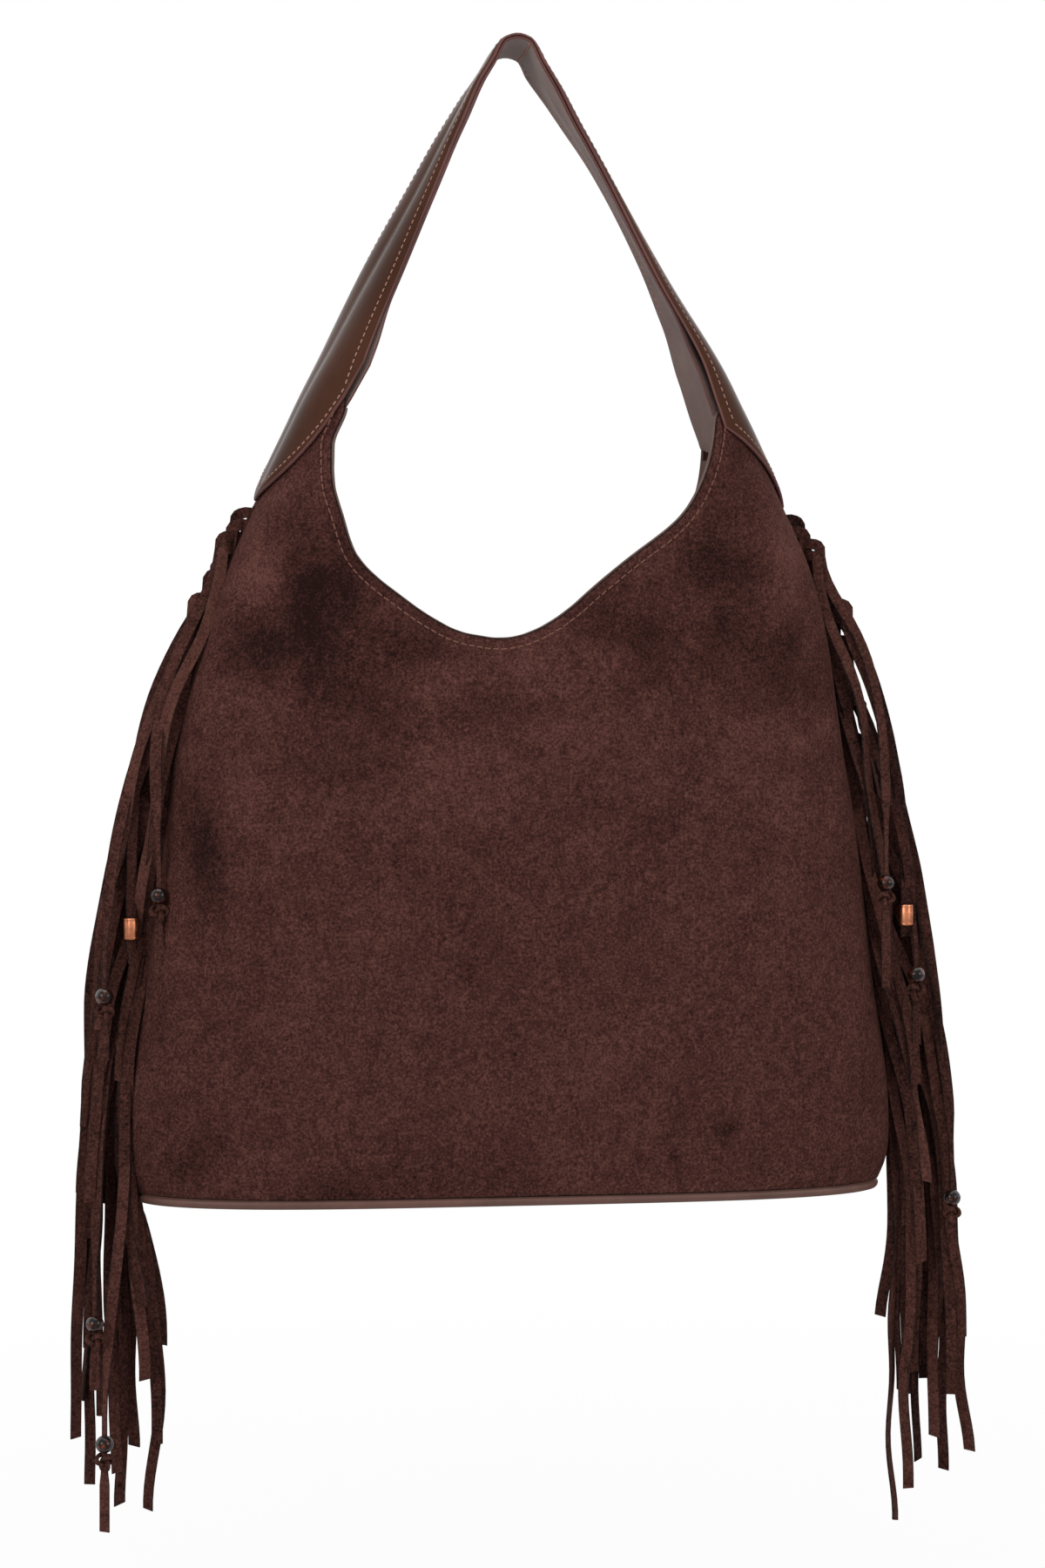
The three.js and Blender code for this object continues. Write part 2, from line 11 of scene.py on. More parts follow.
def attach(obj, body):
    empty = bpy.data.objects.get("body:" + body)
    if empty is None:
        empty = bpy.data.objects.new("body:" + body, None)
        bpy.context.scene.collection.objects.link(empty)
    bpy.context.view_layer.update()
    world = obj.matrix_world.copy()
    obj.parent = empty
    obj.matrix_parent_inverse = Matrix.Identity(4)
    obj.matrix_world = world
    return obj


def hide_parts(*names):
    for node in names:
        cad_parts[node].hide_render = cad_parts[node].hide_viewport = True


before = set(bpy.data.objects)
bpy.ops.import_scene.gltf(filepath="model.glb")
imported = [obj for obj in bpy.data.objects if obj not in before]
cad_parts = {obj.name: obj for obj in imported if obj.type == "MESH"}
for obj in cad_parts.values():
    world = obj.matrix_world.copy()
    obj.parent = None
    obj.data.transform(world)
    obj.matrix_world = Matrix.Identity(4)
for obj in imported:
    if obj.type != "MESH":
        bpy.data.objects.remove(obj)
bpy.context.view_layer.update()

# The same driving sizes as the solids, in millimetres
HANG_HEIGHT = 524.8
SIDE_STATIONS = [(0, 170), (14, 176), (35, 177), (107, 168), (190, 157), (250, 145.5), (286, 134.5)]
DEPTH_STATIONS = [(0, 47), (40, 51), (130, 52), (252, 42), (363, 56)]
FOOT_HEIGHT = 316.0
FOOT_HALF_WIDTH = 121.0
TOP_HEIGHT = 526.0
FLAT_HALF = 6.0
TOP_REACH = 8.0
LEG_REACH = 109.0
LEG_SLANT = radians(25.8)
TOP_HALF_DEPTH = 19.0
END_HALF_DEPTH = 42.0
WIDENING_TOP = 490.0
WIDENING_BOTTOM = 355.0
FOLD_TOP = 500.0
TOP_FOLD_DEPTH = 31.0
END_RISE = 32.0
STRAP_GAP = 0.6
STRAP_THICKNESS = 1.8
STRAP_LINING_THICKNESS = 1.2
OUTSIDE = -STRAP_GAP - STRAP_THICKNESS
MOUTH_HEIGHT = 251.0
MOUTH_RISE = 104.0
MOUTH_WING_SHARE = 0.84
MOUTH_CURVE = 1.9
SUEDE_THICKNESS = 1.6
FACING_THICKNESS = 1.0
BASE_THICKNESS = 4.5
SEAM_SHARE = 0.9957
LINING_INSET = 2.5
WIDEST_DEPTH_HEIGHT = DEPTH_STATIONS[-1][0]
WING_TOP = MOUTH_HEIGHT + MOUTH_RISE
LEFT_WING_TOP = 368.0
BODY_TOP = 315.0
FACING_DROP = 25.0
FACING_FOOT = 300.0
FACING_TOP = 342.0

# How the photographed bag hangs otherwise than the solids
LEFT_CORNER_LIFT = 26.0
LEAN_HALF_WIDTH = 12.0
LEAN_HALF_DEPTH = 36.0
CROWN_DROP = 3.2
CROWN_FROM = 470.0
WING_DRAW = 9.0
WING_DRAW_FROM = 336.0

FORWARD = Vector((0, -1, 0))
WHITE = (1, 1, 1, 1)


def place(point):
    """A point in millimetres above the base, as metres in the frame."""
    return Vector((point[0], point[1], point[2] - HANG_HEIGHT)) / 1000


def mix(low, high, share):
    return low + (high - low) * share


def clamp(value, low=0.0, high=1.0):
    return max(low, min(high, value))


def ease(value, low, high):
    share = clamp((value - low) / (high - low))
    return share * share * (3 - 2 * share)


def through_stations(stations, end_slope=None):
    """A smooth curve through stations of height and value."""
    last = len(stations) - 1
    between = [(b[1] - a[1]) / (b[0] - a[0]) for a, b in zip(stations, stations[1:])]
    slopes = [between[0]] + [(a + b) / 2 for a, b in zip(between, between[1:])] + [between[-1]]
    if end_slope is not None:
        slopes[-1] = end_slope

    def value_at(height):
        i = 0
        while i < last - 1 and height > stations[i + 1][0]:
            i += 1
        low, high = stations[i], stations[i + 1]
        step = high[0] - low[0]
        t = clamp((height - low[0]) / step)
        from_low = low[1] * (1 + 2 * t) * (1 - t) ** 2 + slopes[i] * step * t * (1 - t) ** 2
        from_high = high[1] * t * t * (3 - 2 * t) - slopes[i + 1] * step * t * t * (1 - t)
        return from_low + from_high

    return value_at


def last_below(low, high, is_below, rounds=30):
    """The last place for which is_below holds, found by halving."""
    for _ in range(rounds):
        middle = (low + high) / 2
        low, high = (middle, high) if is_below(middle) else (low, middle)
    return low


ARCH = [
    (FOOT_HALF_WIDTH, FOOT_HEIGHT),
    (FOOT_HALF_WIDTH - LEG_REACH * sin(LEG_SLANT), FOOT_HEIGHT + LEG_REACH * cos(LEG_SLANT)),
    (FLAT_HALF + TOP_REACH, TOP_HEIGHT),
    (FLAT_HALF, TOP_HEIGHT),
]


def arch_point(share):
    """Half width and height of the strap's arch, from 0 at its foot to 1 at its flat top."""
    weights = ((1 - share) ** 3, 3 * share * (1 - share) ** 2, 3 * share * share * (1 - share), share ** 3)
    return tuple(sum(w * p[k] for w, p in zip(weights, ARCH)) for k in (0, 1))


def arch_share(height):
    return last_below(0.0, 1.0, lambda share: arch_point(share)[1] < height)


body_side = through_stations(SIDE_STATIONS + [(FOOT_HEIGHT, FOOT_HALF_WIDTH)], -tan(LEG_SLANT))
body_depth = through_stations(DEPTH_STATIONS, 0.0)


def side_at(height):
    return body_side(height) if height < FOOT_HEIGHT else arch_point(arch_share(height))[0]


def depth_at(height):
    if height <= WIDEST_DEPTH_HEIGHT:
        return body_depth(height)
    return mix(body_depth(WIDEST_DEPTH_HEIGHT), TOP_FOLD_DEPTH, ease(height, WIDEST_DEPTH_HEIGHT, FOLD_TOP))


def hull_point(share, height):
    """Point of the body's outer face, share from -1 at the left seam to 1 at the right seam."""
    across = sin(share * pi / 2)
    out = sqrt(max(0.0, 1 - across ** 4))
    return Vector((across * side_at(height), -depth_at(height) * out, height))


def normal_of(surface, a, b):
    step = 0.002
    along_a = surface(a + step, b) - surface(a - step, b)
    along_b = surface(a, b + step) - surface(a, b - step)
    return along_a.cross(along_b).normalized()


def mouth_edge(share):
    across = abs(sin(share * pi / 2))
    return MOUTH_HEIGHT + MOUTH_RISE * min(across / MOUTH_WING_SHARE, 1) ** MOUTH_CURVE


# The front edge of the mouth as it hangs: how far across and how high
FRONT_MOUTH = (
    (-92.5, 368), (-93.4, 340), (-95.2, 331.6), (-90.4, 313.5), (-86.8, 303.4), (-83.7, 292.4), (-79.9, 286),
    (-71.7, 277.9), (-50.2, 262.5), (-34.4, 254), (-14.2, 250.9), (-0.8, 254), (14, 263), (27.2, 275.4),
    (43.9, 289.4), (55.3, 297.8), (62.1, 303.4), (66, 307.4), (70.2, 313.5), (73.3, 319.6), (77.4, 329),
    (80.4, 340), (82.8, 356),
)


def front_mouth_at(x):
    if x <= FRONT_MOUTH[0][0]:
        return LEFT_WING_TOP
    for (x0, h0), (x1, h1) in zip(FRONT_MOUTH, FRONT_MOUTH[1:]):
        if x <= x1:
            return mix(h0, h1, (x - x0) / (x1 - x0))
    return WING_TOP


def front_mouth_edge(share):
    """Height of the front panel's mouth at a share round the hull."""
    across = sin(share * pi / 2)
    top = LEFT_WING_TOP if across < 0 else WING_TOP
    return last_below(MOUTH_HEIGHT - 10, top, lambda height: height < front_mouth_at(across * side_at(height)), 22)


def smoothed(function, reach=0.022):
    """The same edge without corners."""
    cache = {}

    def at(share):
        if share not in cache:
            cache[share] = sum(0.25 * function(share + reach * k) for k in (-1, -0.5, 0.5, 1))
        return cache[share]

    return at


# How the hanging strap leans, by height: its legs bow in, their edges turn and the whole sways to one side
bow_in = through_stations((
    (300, 0), (340, 0.3), (367, 0), (390, -1.5), (412, -2.9), (440, -4.1), (470, -4.6), (500, -4.2), (512, -2.6),
    (526, 0),
))
front_turn = through_stations((
    (315, 0), (345, -0.4), (362, 0), (380, 0.9), (420, -0.4), (455, 0.3), (486, 2.2), (505, 4), (520, 0),
))
back_turn = through_stations((
    (262, 0), (300, 7), (330, 8), (362, 8.5), (380, 10), (407, 12.5), (431, 15), (462, 15), (490, 12), (506, 8),
    (520, 0),
))
sway = through_stations((
    (200, 0), (227, 1.3), (250, 3.2), (290, 4.4), (320, 4.9), (348, 5), (362, 4.7), (380, 4.6), (410, 3.2),
    (440, 2.6), (462, 2.2), (490, 0.8), (510, 0),
))


def lean(point):
    """A point of the strap, the wings or what is sewn to them, leaned as the hanging strap leans."""
    side = clamp(point.x / LEAN_HALF_WIDTH, -1, 1)
    share = clamp(point.y / LEAN_HALF_DEPTH, -1.2, 1.2)
    shift = bow_in(point.z) + (front_turn(point.z) * -share if share < 0 else back_turn(point.z) * share)
    crown = 0.0
    if point.z > CROWN_FROM:
        crown = CROWN_DROP * ease(abs(point.x), 0.5, 11) * (1 - ease(abs(point.x), 12, 36))
    return Vector((point.x + side * shift + sway(point.z), point.y, point.z - crown))


def hull_depth(x, height):
    """How far forward the hull lies at a place."""
    return depth_at(height) * sqrt(max(0.0, 1 - min(1.0, abs(x) / side_at(height)) ** 4))


def lean_wing(point):
    """As lean, with the front left wing also drawn along under the strap's corner."""
    if point.x < 0 and point.y < 0 and point.z > WING_DRAW_FROM:
        x = point.x + WING_DRAW * ease(point.z, WING_DRAW_FROM + 1, 360) * ease(-point.y, 10, 40)
        point = Vector((x, point.y - hull_depth(x, point.z) + hull_depth(point.x, point.z), point.z))
    return lean(point)


def strap_half_depth(height):
    return mix(TOP_HALF_DEPTH, END_HALF_DEPTH, 1 - ease(height, WIDENING_BOTTOM, WIDENING_TOP))


def strap_point(across, share):
    """Point of the right half of the strap, across from -1 at its front edge to 1, share up the arch."""
    x, height = arch_point(share)
    y = across * strap_half_depth(height)
    return Vector((x * max(1e-6, 1 - (y / depth_at(height)) ** 2) ** 0.25, y, height))


def strap_end_share(across, extra=0.0):
    """Where the strap ends. extra lifts the corner at its front edge."""
    front = max(0.0, -across)
    lifted = extra * (front ** 7 - 0.24 * sin(pi * front))
    return arch_share(FOOT_HEIGHT + END_RISE * abs(across) + lifted)


def moved(surface, a, b, inset):
    """A surface's point, moved inwards along its own normal."""
    return surface(a, b) - normal_of(surface, a, b) * inset


# Meshes
def linked(name, data):
    obj = bpy.data.objects.new(name, data)
    bpy.context.scene.collection.objects.link(obj)
    return obj


def new_piece(name, points, faces, materials, slot_name, rims=(), shades=(), smooth=True):
    """A mesh object that rides on the bag. Faces in rims take the second material."""
    mesh = bpy.data.meshes.new(name)
    mesh.from_pydata([place(p) for p in points], [], faces)
    for material in materials:
        mesh.materials.append(material)
    for polygon in mesh.polygons:
        polygon.use_smooth = smooth
    for index in rims:
        mesh.polygons[index].material_index = 1
    if shades:
        mesh.attributes.new("shade", "FLOAT", "POINT").data.foreach_set("value", shades)
    obj = linked(name, mesh)
    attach(obj, "root")
    return obj


def sheet_mesh(outer, inner, bulge=0.5):
    """A closed sheet from the grids of points of its two faces, with a rounded rim."""
    rows, columns = len(outer), len(outer[0])
    points = [p for row in outer for p in row] + [p for row in inner for p in row]
    offset = rows * columns
    faces = []
    for r in range(rows - 1):
        for c in range(columns - 1):
            a = r * columns + c
            faces.append((a, a + 1, a + columns + 1, a + columns))
            a += offset
            faces.append((a, a + columns, a + columns + 1, a + 1))
    rim = [(0, c) for c in range(columns - 1)]
    rim += [(r, columns - 1) for r in range(rows - 1)]
    rim += [(rows - 1, c) for c in range(columns - 1, 0, -1)]
    rim += [(r, 0) for r in range(rows - 1, 0, -1)]
    rings = [[r * columns + c for r, c in rim]]
    for share in (0.18, 0.5, 0.82):
        ring = []
        for r, c in rim:
            inside = outer[min(max(r, 1), rows - 2)][min(max(c, 1), columns - 2)]
            away = (outer[r][c] - inside).normalized()
            through = inner[r][c] - outer[r][c]
            ring.append(len(points))
            swell = through.length * bulge * sin(pi * share)
            points.append(outer[r][c] + through * share + away * swell)
        rings.append(ring)
    rings.append([offset + a for a in rings[0]])
    rim_start = len(faces)
    for upper, lower in zip(rings, rings[1:]):
        for i in range(len(rim)):
            faces.append((upper[i - 1], lower[i - 1], lower[i], upper[i]))
    return points, faces, range(rim_start, len(faces))


def grid(rows, columns, point_at):
    return [[point_at(c / columns, r / rows) for c in range(columns + 1)] for r in range(rows + 1)]


def turned(points):
    """The same points turned half round the bag."""
    return [Vector((-p[0], -p[1], p[2])) for p in points]


def ring_faces(rings, size, closed=False):
    """Faces between rings of points that follow each other in one list, with two end faces if not closed."""
    faces = []
    for i in range(rings if closed else rings - 1):
        low, high = i * size, ((i + 1) % rings) * size
        for k in range(size):
            m = (k + 1) % size
            faces.append((low + k, low + m, high + m, high + k))
    if not closed:
        faces += [tuple(range(size - 1, -1, -1)), tuple(range((rings - 1) * size, rings * size))]
    return faces


def tube_mesh(path, section, facing, closed=False):
    """Rings along a path. section, as (wide, thick) pairs, and the wide direction may change with the ring."""
    points = []
    count = len(path)
    for i, point in enumerate(path):
        before = path[i - 1] if i or closed else path[i]
        after = path[(i + 1) % count] if i < count - 1 or closed else path[i]
        along = (after - before).normalized()
        wide = facing(i, along) if callable(facing) else facing
        wide = (wide - along * wide.dot(along)).normalized()
        thick = along.cross(wide)
        ring = section(i) if callable(section) else section
        points += [point + wide * w + thick * t for w, t in ring]
    return points, ring_faces(count, len(ring), closed)


def joined(parts):
    """One list of points and faces from several."""
    points, faces = [], []
    for part_points, part_faces in parts:
        offset = len(points)
        points += part_points
        faces += [tuple(offset + k for k in face) for face in part_faces]
    return points, faces


def lathe_mesh(profile, centre, press=1.0, steps=48):
    """A closed profile of (radius, height) turned round the vertical through centre, pressed along y."""
    points = []
    for i in range(steps):
        angle = tau * i / steps
        points += [centre + Vector((r * cos(angle), press * r * sin(angle), z)) for r, z in profile]
    return points, [face[::-1] for face in ring_faces(steps, len(profile), closed=True)]


def round_section(radius_wide, radius_thick, count=8):
    angles = [tau * k / count for k in range(count)]
    return [(radius_wide * cos(a), radius_thick * sin(a)) for a in angles]


# Materials
def colour(red, green, blue):
    """A colour as seen on a screen, from 0 to 255, as the shader takes it."""
    scaled = (c / 255 for c in (red, green, blue))
    return tuple(c / 12.92 if c <= 0.04045 else ((c + 0.055) / 1.055) ** 2.4 for c in scaled) + (1.0,)


def add_node(tree, kind, inputs, operation=None):
    """A new shader node, each of its inputs set to a value or linked to a socket."""
    node = tree.nodes.new("ShaderNode" + kind)
    if operation:
        node.operation = operation
    for key, value in inputs.items():
        if isinstance(value, bpy.types.NodeSocket):
            tree.links.new(value, node.inputs[key])
        else:
            node.inputs[key].default_value = value
    return node


class Finish:
    """A material with its shader and short ways to add nodes to it."""

    def __init__(self, name, roughness, specular, **constants):
        self.material = bpy.data.materials.new(name)
        self.material.use_nodes = True
        self.tree = self.material.node_tree
        self.shader = next(n for n in self.tree.nodes if n.type == "BSDF_PRINCIPLED")
        constants.update(Roughness=roughness, Specular_IOR_Level=specular)
        for key, value in constants.items():
            self.shader.inputs[key.replace("_", " ")].default_value = value
        self.place = add_node(self.tree, "TexCoord", {}).outputs["Object"]
        self.normal = None

    def noise(self, scale, detail=3.0, roughness=0.55, distortion=0.0, stretch=(1, 1, 1)):
        mapping = add_node(self.tree, "Mapping", {"Vector": self.place, "Scale": stretch})
        return add_node(self.tree, "TexNoise", {
            "Vector": mapping.outputs["Vector"], "Scale": scale, "Detail": detail,
            "Roughness": roughness, "Distortion": distortion,
        }).outputs["Fac"]

    def reach(self, value, low=0.3, high=0.7, to_low=-1.0, to_high=1.0):
        inputs = {"Value": value, "From Min": low, "From Max": high, "To Min": to_low, "To Max": to_high}
        return add_node(self.tree, "MapRange", inputs).outputs["Result"]

    def sum(self, first, second, factor=1.0):
        return add_node(self.tree, "Math", {0: second, 1: factor, 2: first}, "MULTIPLY_ADD").outputs["Value"]

    def base(self, value, *stops):
        """The shader's colour, by stops of a position and a screen colour."""
        ramp = add_node(self.tree, "ValToRGB", {"Fac": value})
        elements = ramp.color_ramp.elements
        while len(elements) < len(stops):
            elements.new(0.5)
        for element, (position, tone) in zip(elements, stops):
            element.position, element.color = position, colour(*tone)
        self.tree.links.new(ramp.outputs["Color"], self.shader.inputs["Base Color"])

    def rough(self, socket):
        self.tree.links.new(socket, self.shader.inputs["Roughness"])

    def bump(self, height, distance, strength=1.0):
        inputs = {"Strength": strength, "Distance": distance, "Height": height}
        if self.normal:
            inputs["Normal"] = self.normal
        self.normal = add_node(self.tree, "Bump", inputs).outputs["Normal"]
        self.tree.links.new(self.normal, self.shader.inputs["Normal"])


def suede_finish(name, mottle, dark, middle, light):
    """Brushed suede: fine nap, soft mottling, broad strokes where it was rubbed, and each point's shade, which
    holds nap marks and painted shade.
    """
    finish = Finish(name, 0.93, 0.05, Sheen_Weight=0.05, Sheen_Roughness=0.4, Sheen_Tint=colour(196, 150, 134))
    nap = finish.noise(820, 5, 0.75)
    clumps = finish.noise(230, 6, 0.72, 0.5, (1, 1, 0.8))
    cloud = finish.noise(26, 6, 0.6, 1.2, (1, 1, 0.7))
    value = finish.reach(nap, 0.3, 0.7, -0.8, 0.8)
    value = finish.sum(value, finish.reach(clumps), 0.27)
    value = finish.sum(value, finish.reach(cloud), mottle)
    # Each point's shade attribute: wear and nap marks, with painted shade on the panels and on the strands further
    # back
    shade = add_node(finish.tree, "Attribute", {})
    shade.attribute_name = "shade"
    value = finish.sum(value, shade.outputs["Fac"], 0.78)
    finish.base(finish.reach(value, -1, 1, 0, 1), (0.12, dark), (0.5, middle), (0.88, light))
    finish.bump(clumps, 0.0004, 0.5)
    finish.bump(nap, 0.00022, 0.75)
    return finish.material


def leather_finish(name, roughness, specular, grain, dark, middle, light):
    """Smooth coated leather: faint pebbled grain, fine creases and slightly uneven gloss."""
    finish = Finish(name, roughness, specular)
    pebbles = finish.noise(grain, 3, 0.5)
    creases = finish.noise(grain * 0.12, 5, 0.6, 0.8, (1, 1, 0.4))
    cloud = finish.noise(22, 4, 0.55, 0.5)
    value = finish.reach(cloud, 0.3, 0.7, 0.3, 0.7)
    value = finish.sum(value, finish.reach(creases), 0.07)
    value = finish.sum(value, finish.reach(pebbles, 0.3, 0.7, 0.5, -0.5), 0.04)
    finish.base(value, (0.1, dark), (0.5, middle), (0.9, light))
    finish.rough(finish.reach(creases, 0.25, 0.75, roughness - 0.05, roughness + 0.07))
    finish.bump(creases, 0.0004, 0.12)
    finish.bump(pebbles, 0.00002, 0.1)
    return finish.material


def thread_finish(name, dark, light):
    finish = Finish(name, 0.75, 0.1)
    fibres = finish.noise(4200, 3, 0.6)
    finish.base(fibres, (0.25, dark), (0.7, light))
    finish.bump(fibres, 0.0001, 0.6)
    return finish.material


def fabric_finish():
    finish = Finish("lining_weave", 0.9, 0.15, Sheen_Weight=0.1)
    weave = finish.sum(
        finish.noise(900, 2, 0.5, 0.0, (1, 1, 0.15)), finish.noise(900, 2, 0.5, 0.0, (0.15, 0.15, 1))
    )
    finish.base(finish.sum(weave, finish.noise(30, 3), 0.4), (0.7, (58, 44, 38)), (1.0, (92, 74, 66)))
    finish.bump(weave, 0.0003, 0.6)
    return finish.material


def bead_finish():
    """Dark brown glassy resin; red-brown patches painted into its colour stand for glints of light through it."""
    finish = Finish("bead_resin", 0.05, 0.22, IOR=1.45, Transmission_Weight=0.06)
    cloud = finish.noise(330, 3, 0.5, 0.8)
    finish.base(cloud, (0.42, (14, 8, 7)), (0.56, (36, 16, 11)), (0.68, (112, 50, 28)))
    finish.rough(finish.reach(finish.noise(900, 2), 0.3, 0.7, 0.06, 0.13))
    return finish.material


def metal_finish(name, roughness, grain, dull, bright):
    finish = Finish(name, roughness, 0.5, Metallic=1.0)
    brushed = finish.noise(grain, 3, 0.6, 0.0, (1, 1, 0.08))
    tarnish = finish.noise(240, 4, 0.6)
    finish.base(finish.sum(tarnish, brushed, 0.25), (0.4, dull), (0.75, bright))
    finish.rough(finish.reach(brushed, 0.2, 0.8, roughness - 0.06, roughness + 0.12))
    finish.bump(brushed, 0.00008, 0.35)
    return finish.material


suede = suede_finish("brushed_suede", 0.16, (32, 17, 15), (67, 39, 35), (100, 64, 58))
# The fringe's suede: faces a little darker than the panels', cut sides much darker; part of this darkening is
# painted shade between the strands
fringe_suede = suede_finish("fringe_suede_face", 0.1, (22, 13, 12), (64, 38, 33), (92, 58, 51))
fringe_edge = suede_finish("fringe_suede_edge", 0.1, (16, 11, 10), (38, 27, 25), (66, 50, 46))
strap_leather, strap_edge, strap_under, facing_leather, base_leather = (
    leather_finish(*numbers) for numbers in (
        ("strap_leather_face", 0.16, 0.008, 1400, (58, 35, 26), (71, 45, 34), (82, 53, 42)),
        ("strap_leather_edge", 0.5, 0.25, 1400, (66, 38, 36), (92, 56, 52), (116, 76, 70)),
        ("strap_lining_face", 0.55, 0.25, 1100, (98, 80, 76), (124, 104, 99), (146, 128, 122)),
        ("mouth_facing_leather", 0.55, 0.25, 1100, (72, 54, 49), (96, 75, 69), (118, 96, 90)),
        ("base_leather_face", 0.5, 0.28, 1200, (76, 51, 44), (100, 70, 62), (122, 90, 80)),
    )
)
thread = thread_finish("strap_thread", (128, 88, 78), (186, 142, 128))
dark_thread = thread_finish("mouth_thread", (78, 48, 40), (134, 94, 80))
lining_weave = fabric_finish()
bead_resin = bead_finish()
copper = metal_finish("brushed_copper", 0.32, 2600, (138, 78, 54), (198, 130, 96))
snap_steel = metal_finish("snap_steel", 0.3, 1800, (120, 114, 106), (190, 184, 176))

for node_name, material in (
    ("lining_bag", lining_weave), ("inner_pocket", lining_weave),
    ("snap_socket", snap_steel), ("snap_stud", snap_steel),
):
    for material_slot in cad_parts[node_name].material_slots:
        material_slot.material = material


# Suede panels, with the slight waves that a soft bag shows when it hangs
FOLDS = (
    # Ends as (half width share, height), then how far the fold stands out and how wide it is
    ((-0.66, 318), (-0.4, 150), 2.6, 0.085), ((0.66, 318), (0.42, 160), 2.4, 0.085),
    ((-0.8, 300), (-0.74, 70), 1.8, 0.07), ((0.82, 290), (0.78, 90), 1.6, 0.07),
    ((-0.28, 240), (-0.2, 40), 1.6, 0.13), ((0.22, 236), (0.3, 60), 1.4, 0.12),
)
CREASES = (
    # Short creases near the mouth: middle, direction, half length, depth in mm and half width in mm
    ((-78, 224), (0.95, -0.3), 26, 0.9, 5), ((-54, 209), (1, 0.12), 34, 0.7, 5),
    ((58, 232), (0.8, 0.6), 22, 0.8, 5), ((74, 208), (0.9, 0.25), 30, 0.6, 6), ((0, 214), (1, 0), 30, 0.5, 7),
)


def drape(share, height, seed):
    """How far the suede stands out from the hull, in millimetres."""
    free = ease(height, 5, 40) * (1 - ease(height, 286, 318)) * (1 - ease(abs(share), 0.86, 0.99))
    out = 0.9 + 1.1 * noise.noise(Vector((share * 2.3, height / 95, seed)))
    out += 0.35 * noise.noise(Vector((share * 7, height / 34, seed + 7)))
    for (s0, h0), (s1, h1), amount, width in FOLDS:
        along = clamp((h0 - height) / (h0 - h1), -0.3, 1.3)
        off = (share - mix(s0, s1, along)) / (width * (1 + 0.5 * clamp(along)))
        out += amount * exp(-off * off) * sin(pi * clamp(0.12 + 0.8 * along))
    x = sin(share * pi / 2) * side_at(min(height, BODY_TOP))
    for (x0, h0), (dx, dh), half, depth, width in CREASES:
        along = ((x - x0) * dx + (height - h0) * dh) / half
        off = (-(x - x0) * dh + (height - h0) * dx) / width
        out -= depth * exp(-along * along * 1.6) * exp(-off * off)
    return max(0.0, out) * free


# Darker and lighter places on the front: rubbed nap and wear, painted shade at the upper corners where the suede
# turns from the light, and a painted shadow of a beaded strand by the left seam. Each is its middle (across,
# height), half sizes, slant and strength
FRONT_WEAR_AND_PAINTED_LIGHT = (
    ((-100, 266), (12, 36), 0.15, -1.1), ((-82, 268), (9, 40), 0.15, -0.6), ((-57, 252), (11, 14), -0.3, -0.55),
    ((-66, 226), (26, 9), -0.25, -0.3), ((-116, 294), (18, 20), -0.4, 0.45), ((-122, 273), (9, 12), 0, 0.4),
    ((-120, 248), (13, 12), 0.2, -0.8), ((73, 289), (10, 13), -0.3, -0.6),
    ((91, 280), (14, 24), -0.25, -0.75), ((115, 245), (16, 14), 0, -0.65), ((50, 255), (13, 12), 0.6, -0.65),
    ((115, 290), (12, 18), 0.2, 0.4), ((120, 304), (20, 14), 0.4, 0.4), ((-4, 240), (26, 12), 0.0, 0.35),
    # (-143, 157) below is a painted shadow of the left fringe's beaded strand on the panel
    ((-143, 157), (8, 28), 0.05, -0.9), ((-148, 22), (14, 9), 0.5, -0.45), ((-86, 8), (10, 5), 0.0, -0.4),
    ((-60, 12), (26, 7), 0.1, -0.25), ((90, 33), (5, 5), 0.0, -0.85), ((66, 20), (3, 3), 0.0, -0.5),
    ((-20, 190), (36, 12), 0.1, 0.2), ((40, 120), (60, 34), 0.2, 0.08), ((128, 180), (16, 60), -0.1, 0.15),
)


def wear_and_painted_light_at(x, height):
    """Share of darker or lighter suede at a place on the front: nap and wear, with painted shade and a painted
    shadow.
    """
    value = 0.0
    for (x0, h0), (wide, tall), slant, strength in FRONT_WEAR_AND_PAINTED_LIGHT:
        wander = noise.noise(Vector((x / 14, height / 14, x0))) * 0.55
        dx, dh = x - x0, height - h0
        u = (dx * cos(slant) + dh * sin(slant)) / wide
        v = (-dx * sin(slant) + dh * cos(slant)) / tall
        value += strength * exp(-((u * u + v * v) ** 0.9) * (1 + wander))
    smear = noise.noise(Vector((x / 46, height / 20, 3.1)))
    smear += 0.5 * noise.noise(Vector((x / 15, height / 9, 5.2)))
    return value + 0.34 * smear * ease(height, 110, 225)


# The two faces of the bag: name, edge of the mouth and seed of the folds
BAG_FACES = (("front", smoothed(front_mouth_edge), 1.7), ("back", mouth_edge, 9.4))


def draped(share, height, seed, inset, part=1.0):
    """Point inside the draped suede by inset, with only a part of its folds if so asked."""
    return moved(hull_point, share, height, inset - part * drape(share, height, seed))


def hung(points, face_name):
    """Points worked out for the front, as they hang there or turned round to the back."""
    return [lean_wing(p) for p in (turned(points) if face_name == "back" else points)]


for face_name, edge, seed in BAG_FACES:
    def panel_face(inset):
        def at(u, v):
            share = mix(-SEAM_SHARE, SEAM_SHARE, u)
            return draped(share, mix(BASE_THICKNESS + 0.3, edge(share), v), seed, inset)
        return grid(108, 116, at)

    points, faces, rim = sheet_mesh(panel_face(0), panel_face(SUEDE_THICKNESS))
    # Each point's shade: the front's nap marks with their painted shade and shadow, and a fainter turned copy of
    # them on the back
    if face_name == "front":
        shades = [wear_and_painted_light_at(p.x, p.z) for p in points]
    else:
        shades = [0.6 * wear_and_painted_light_at(-0.7 * p.x + 11, p.z) for p in points]
    points = hung(points, face_name)
    panel = new_piece(face_name + "_suede", points, faces, (suede, fringe_edge), "suede", rim, shades)
    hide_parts(face_name + "_panel")


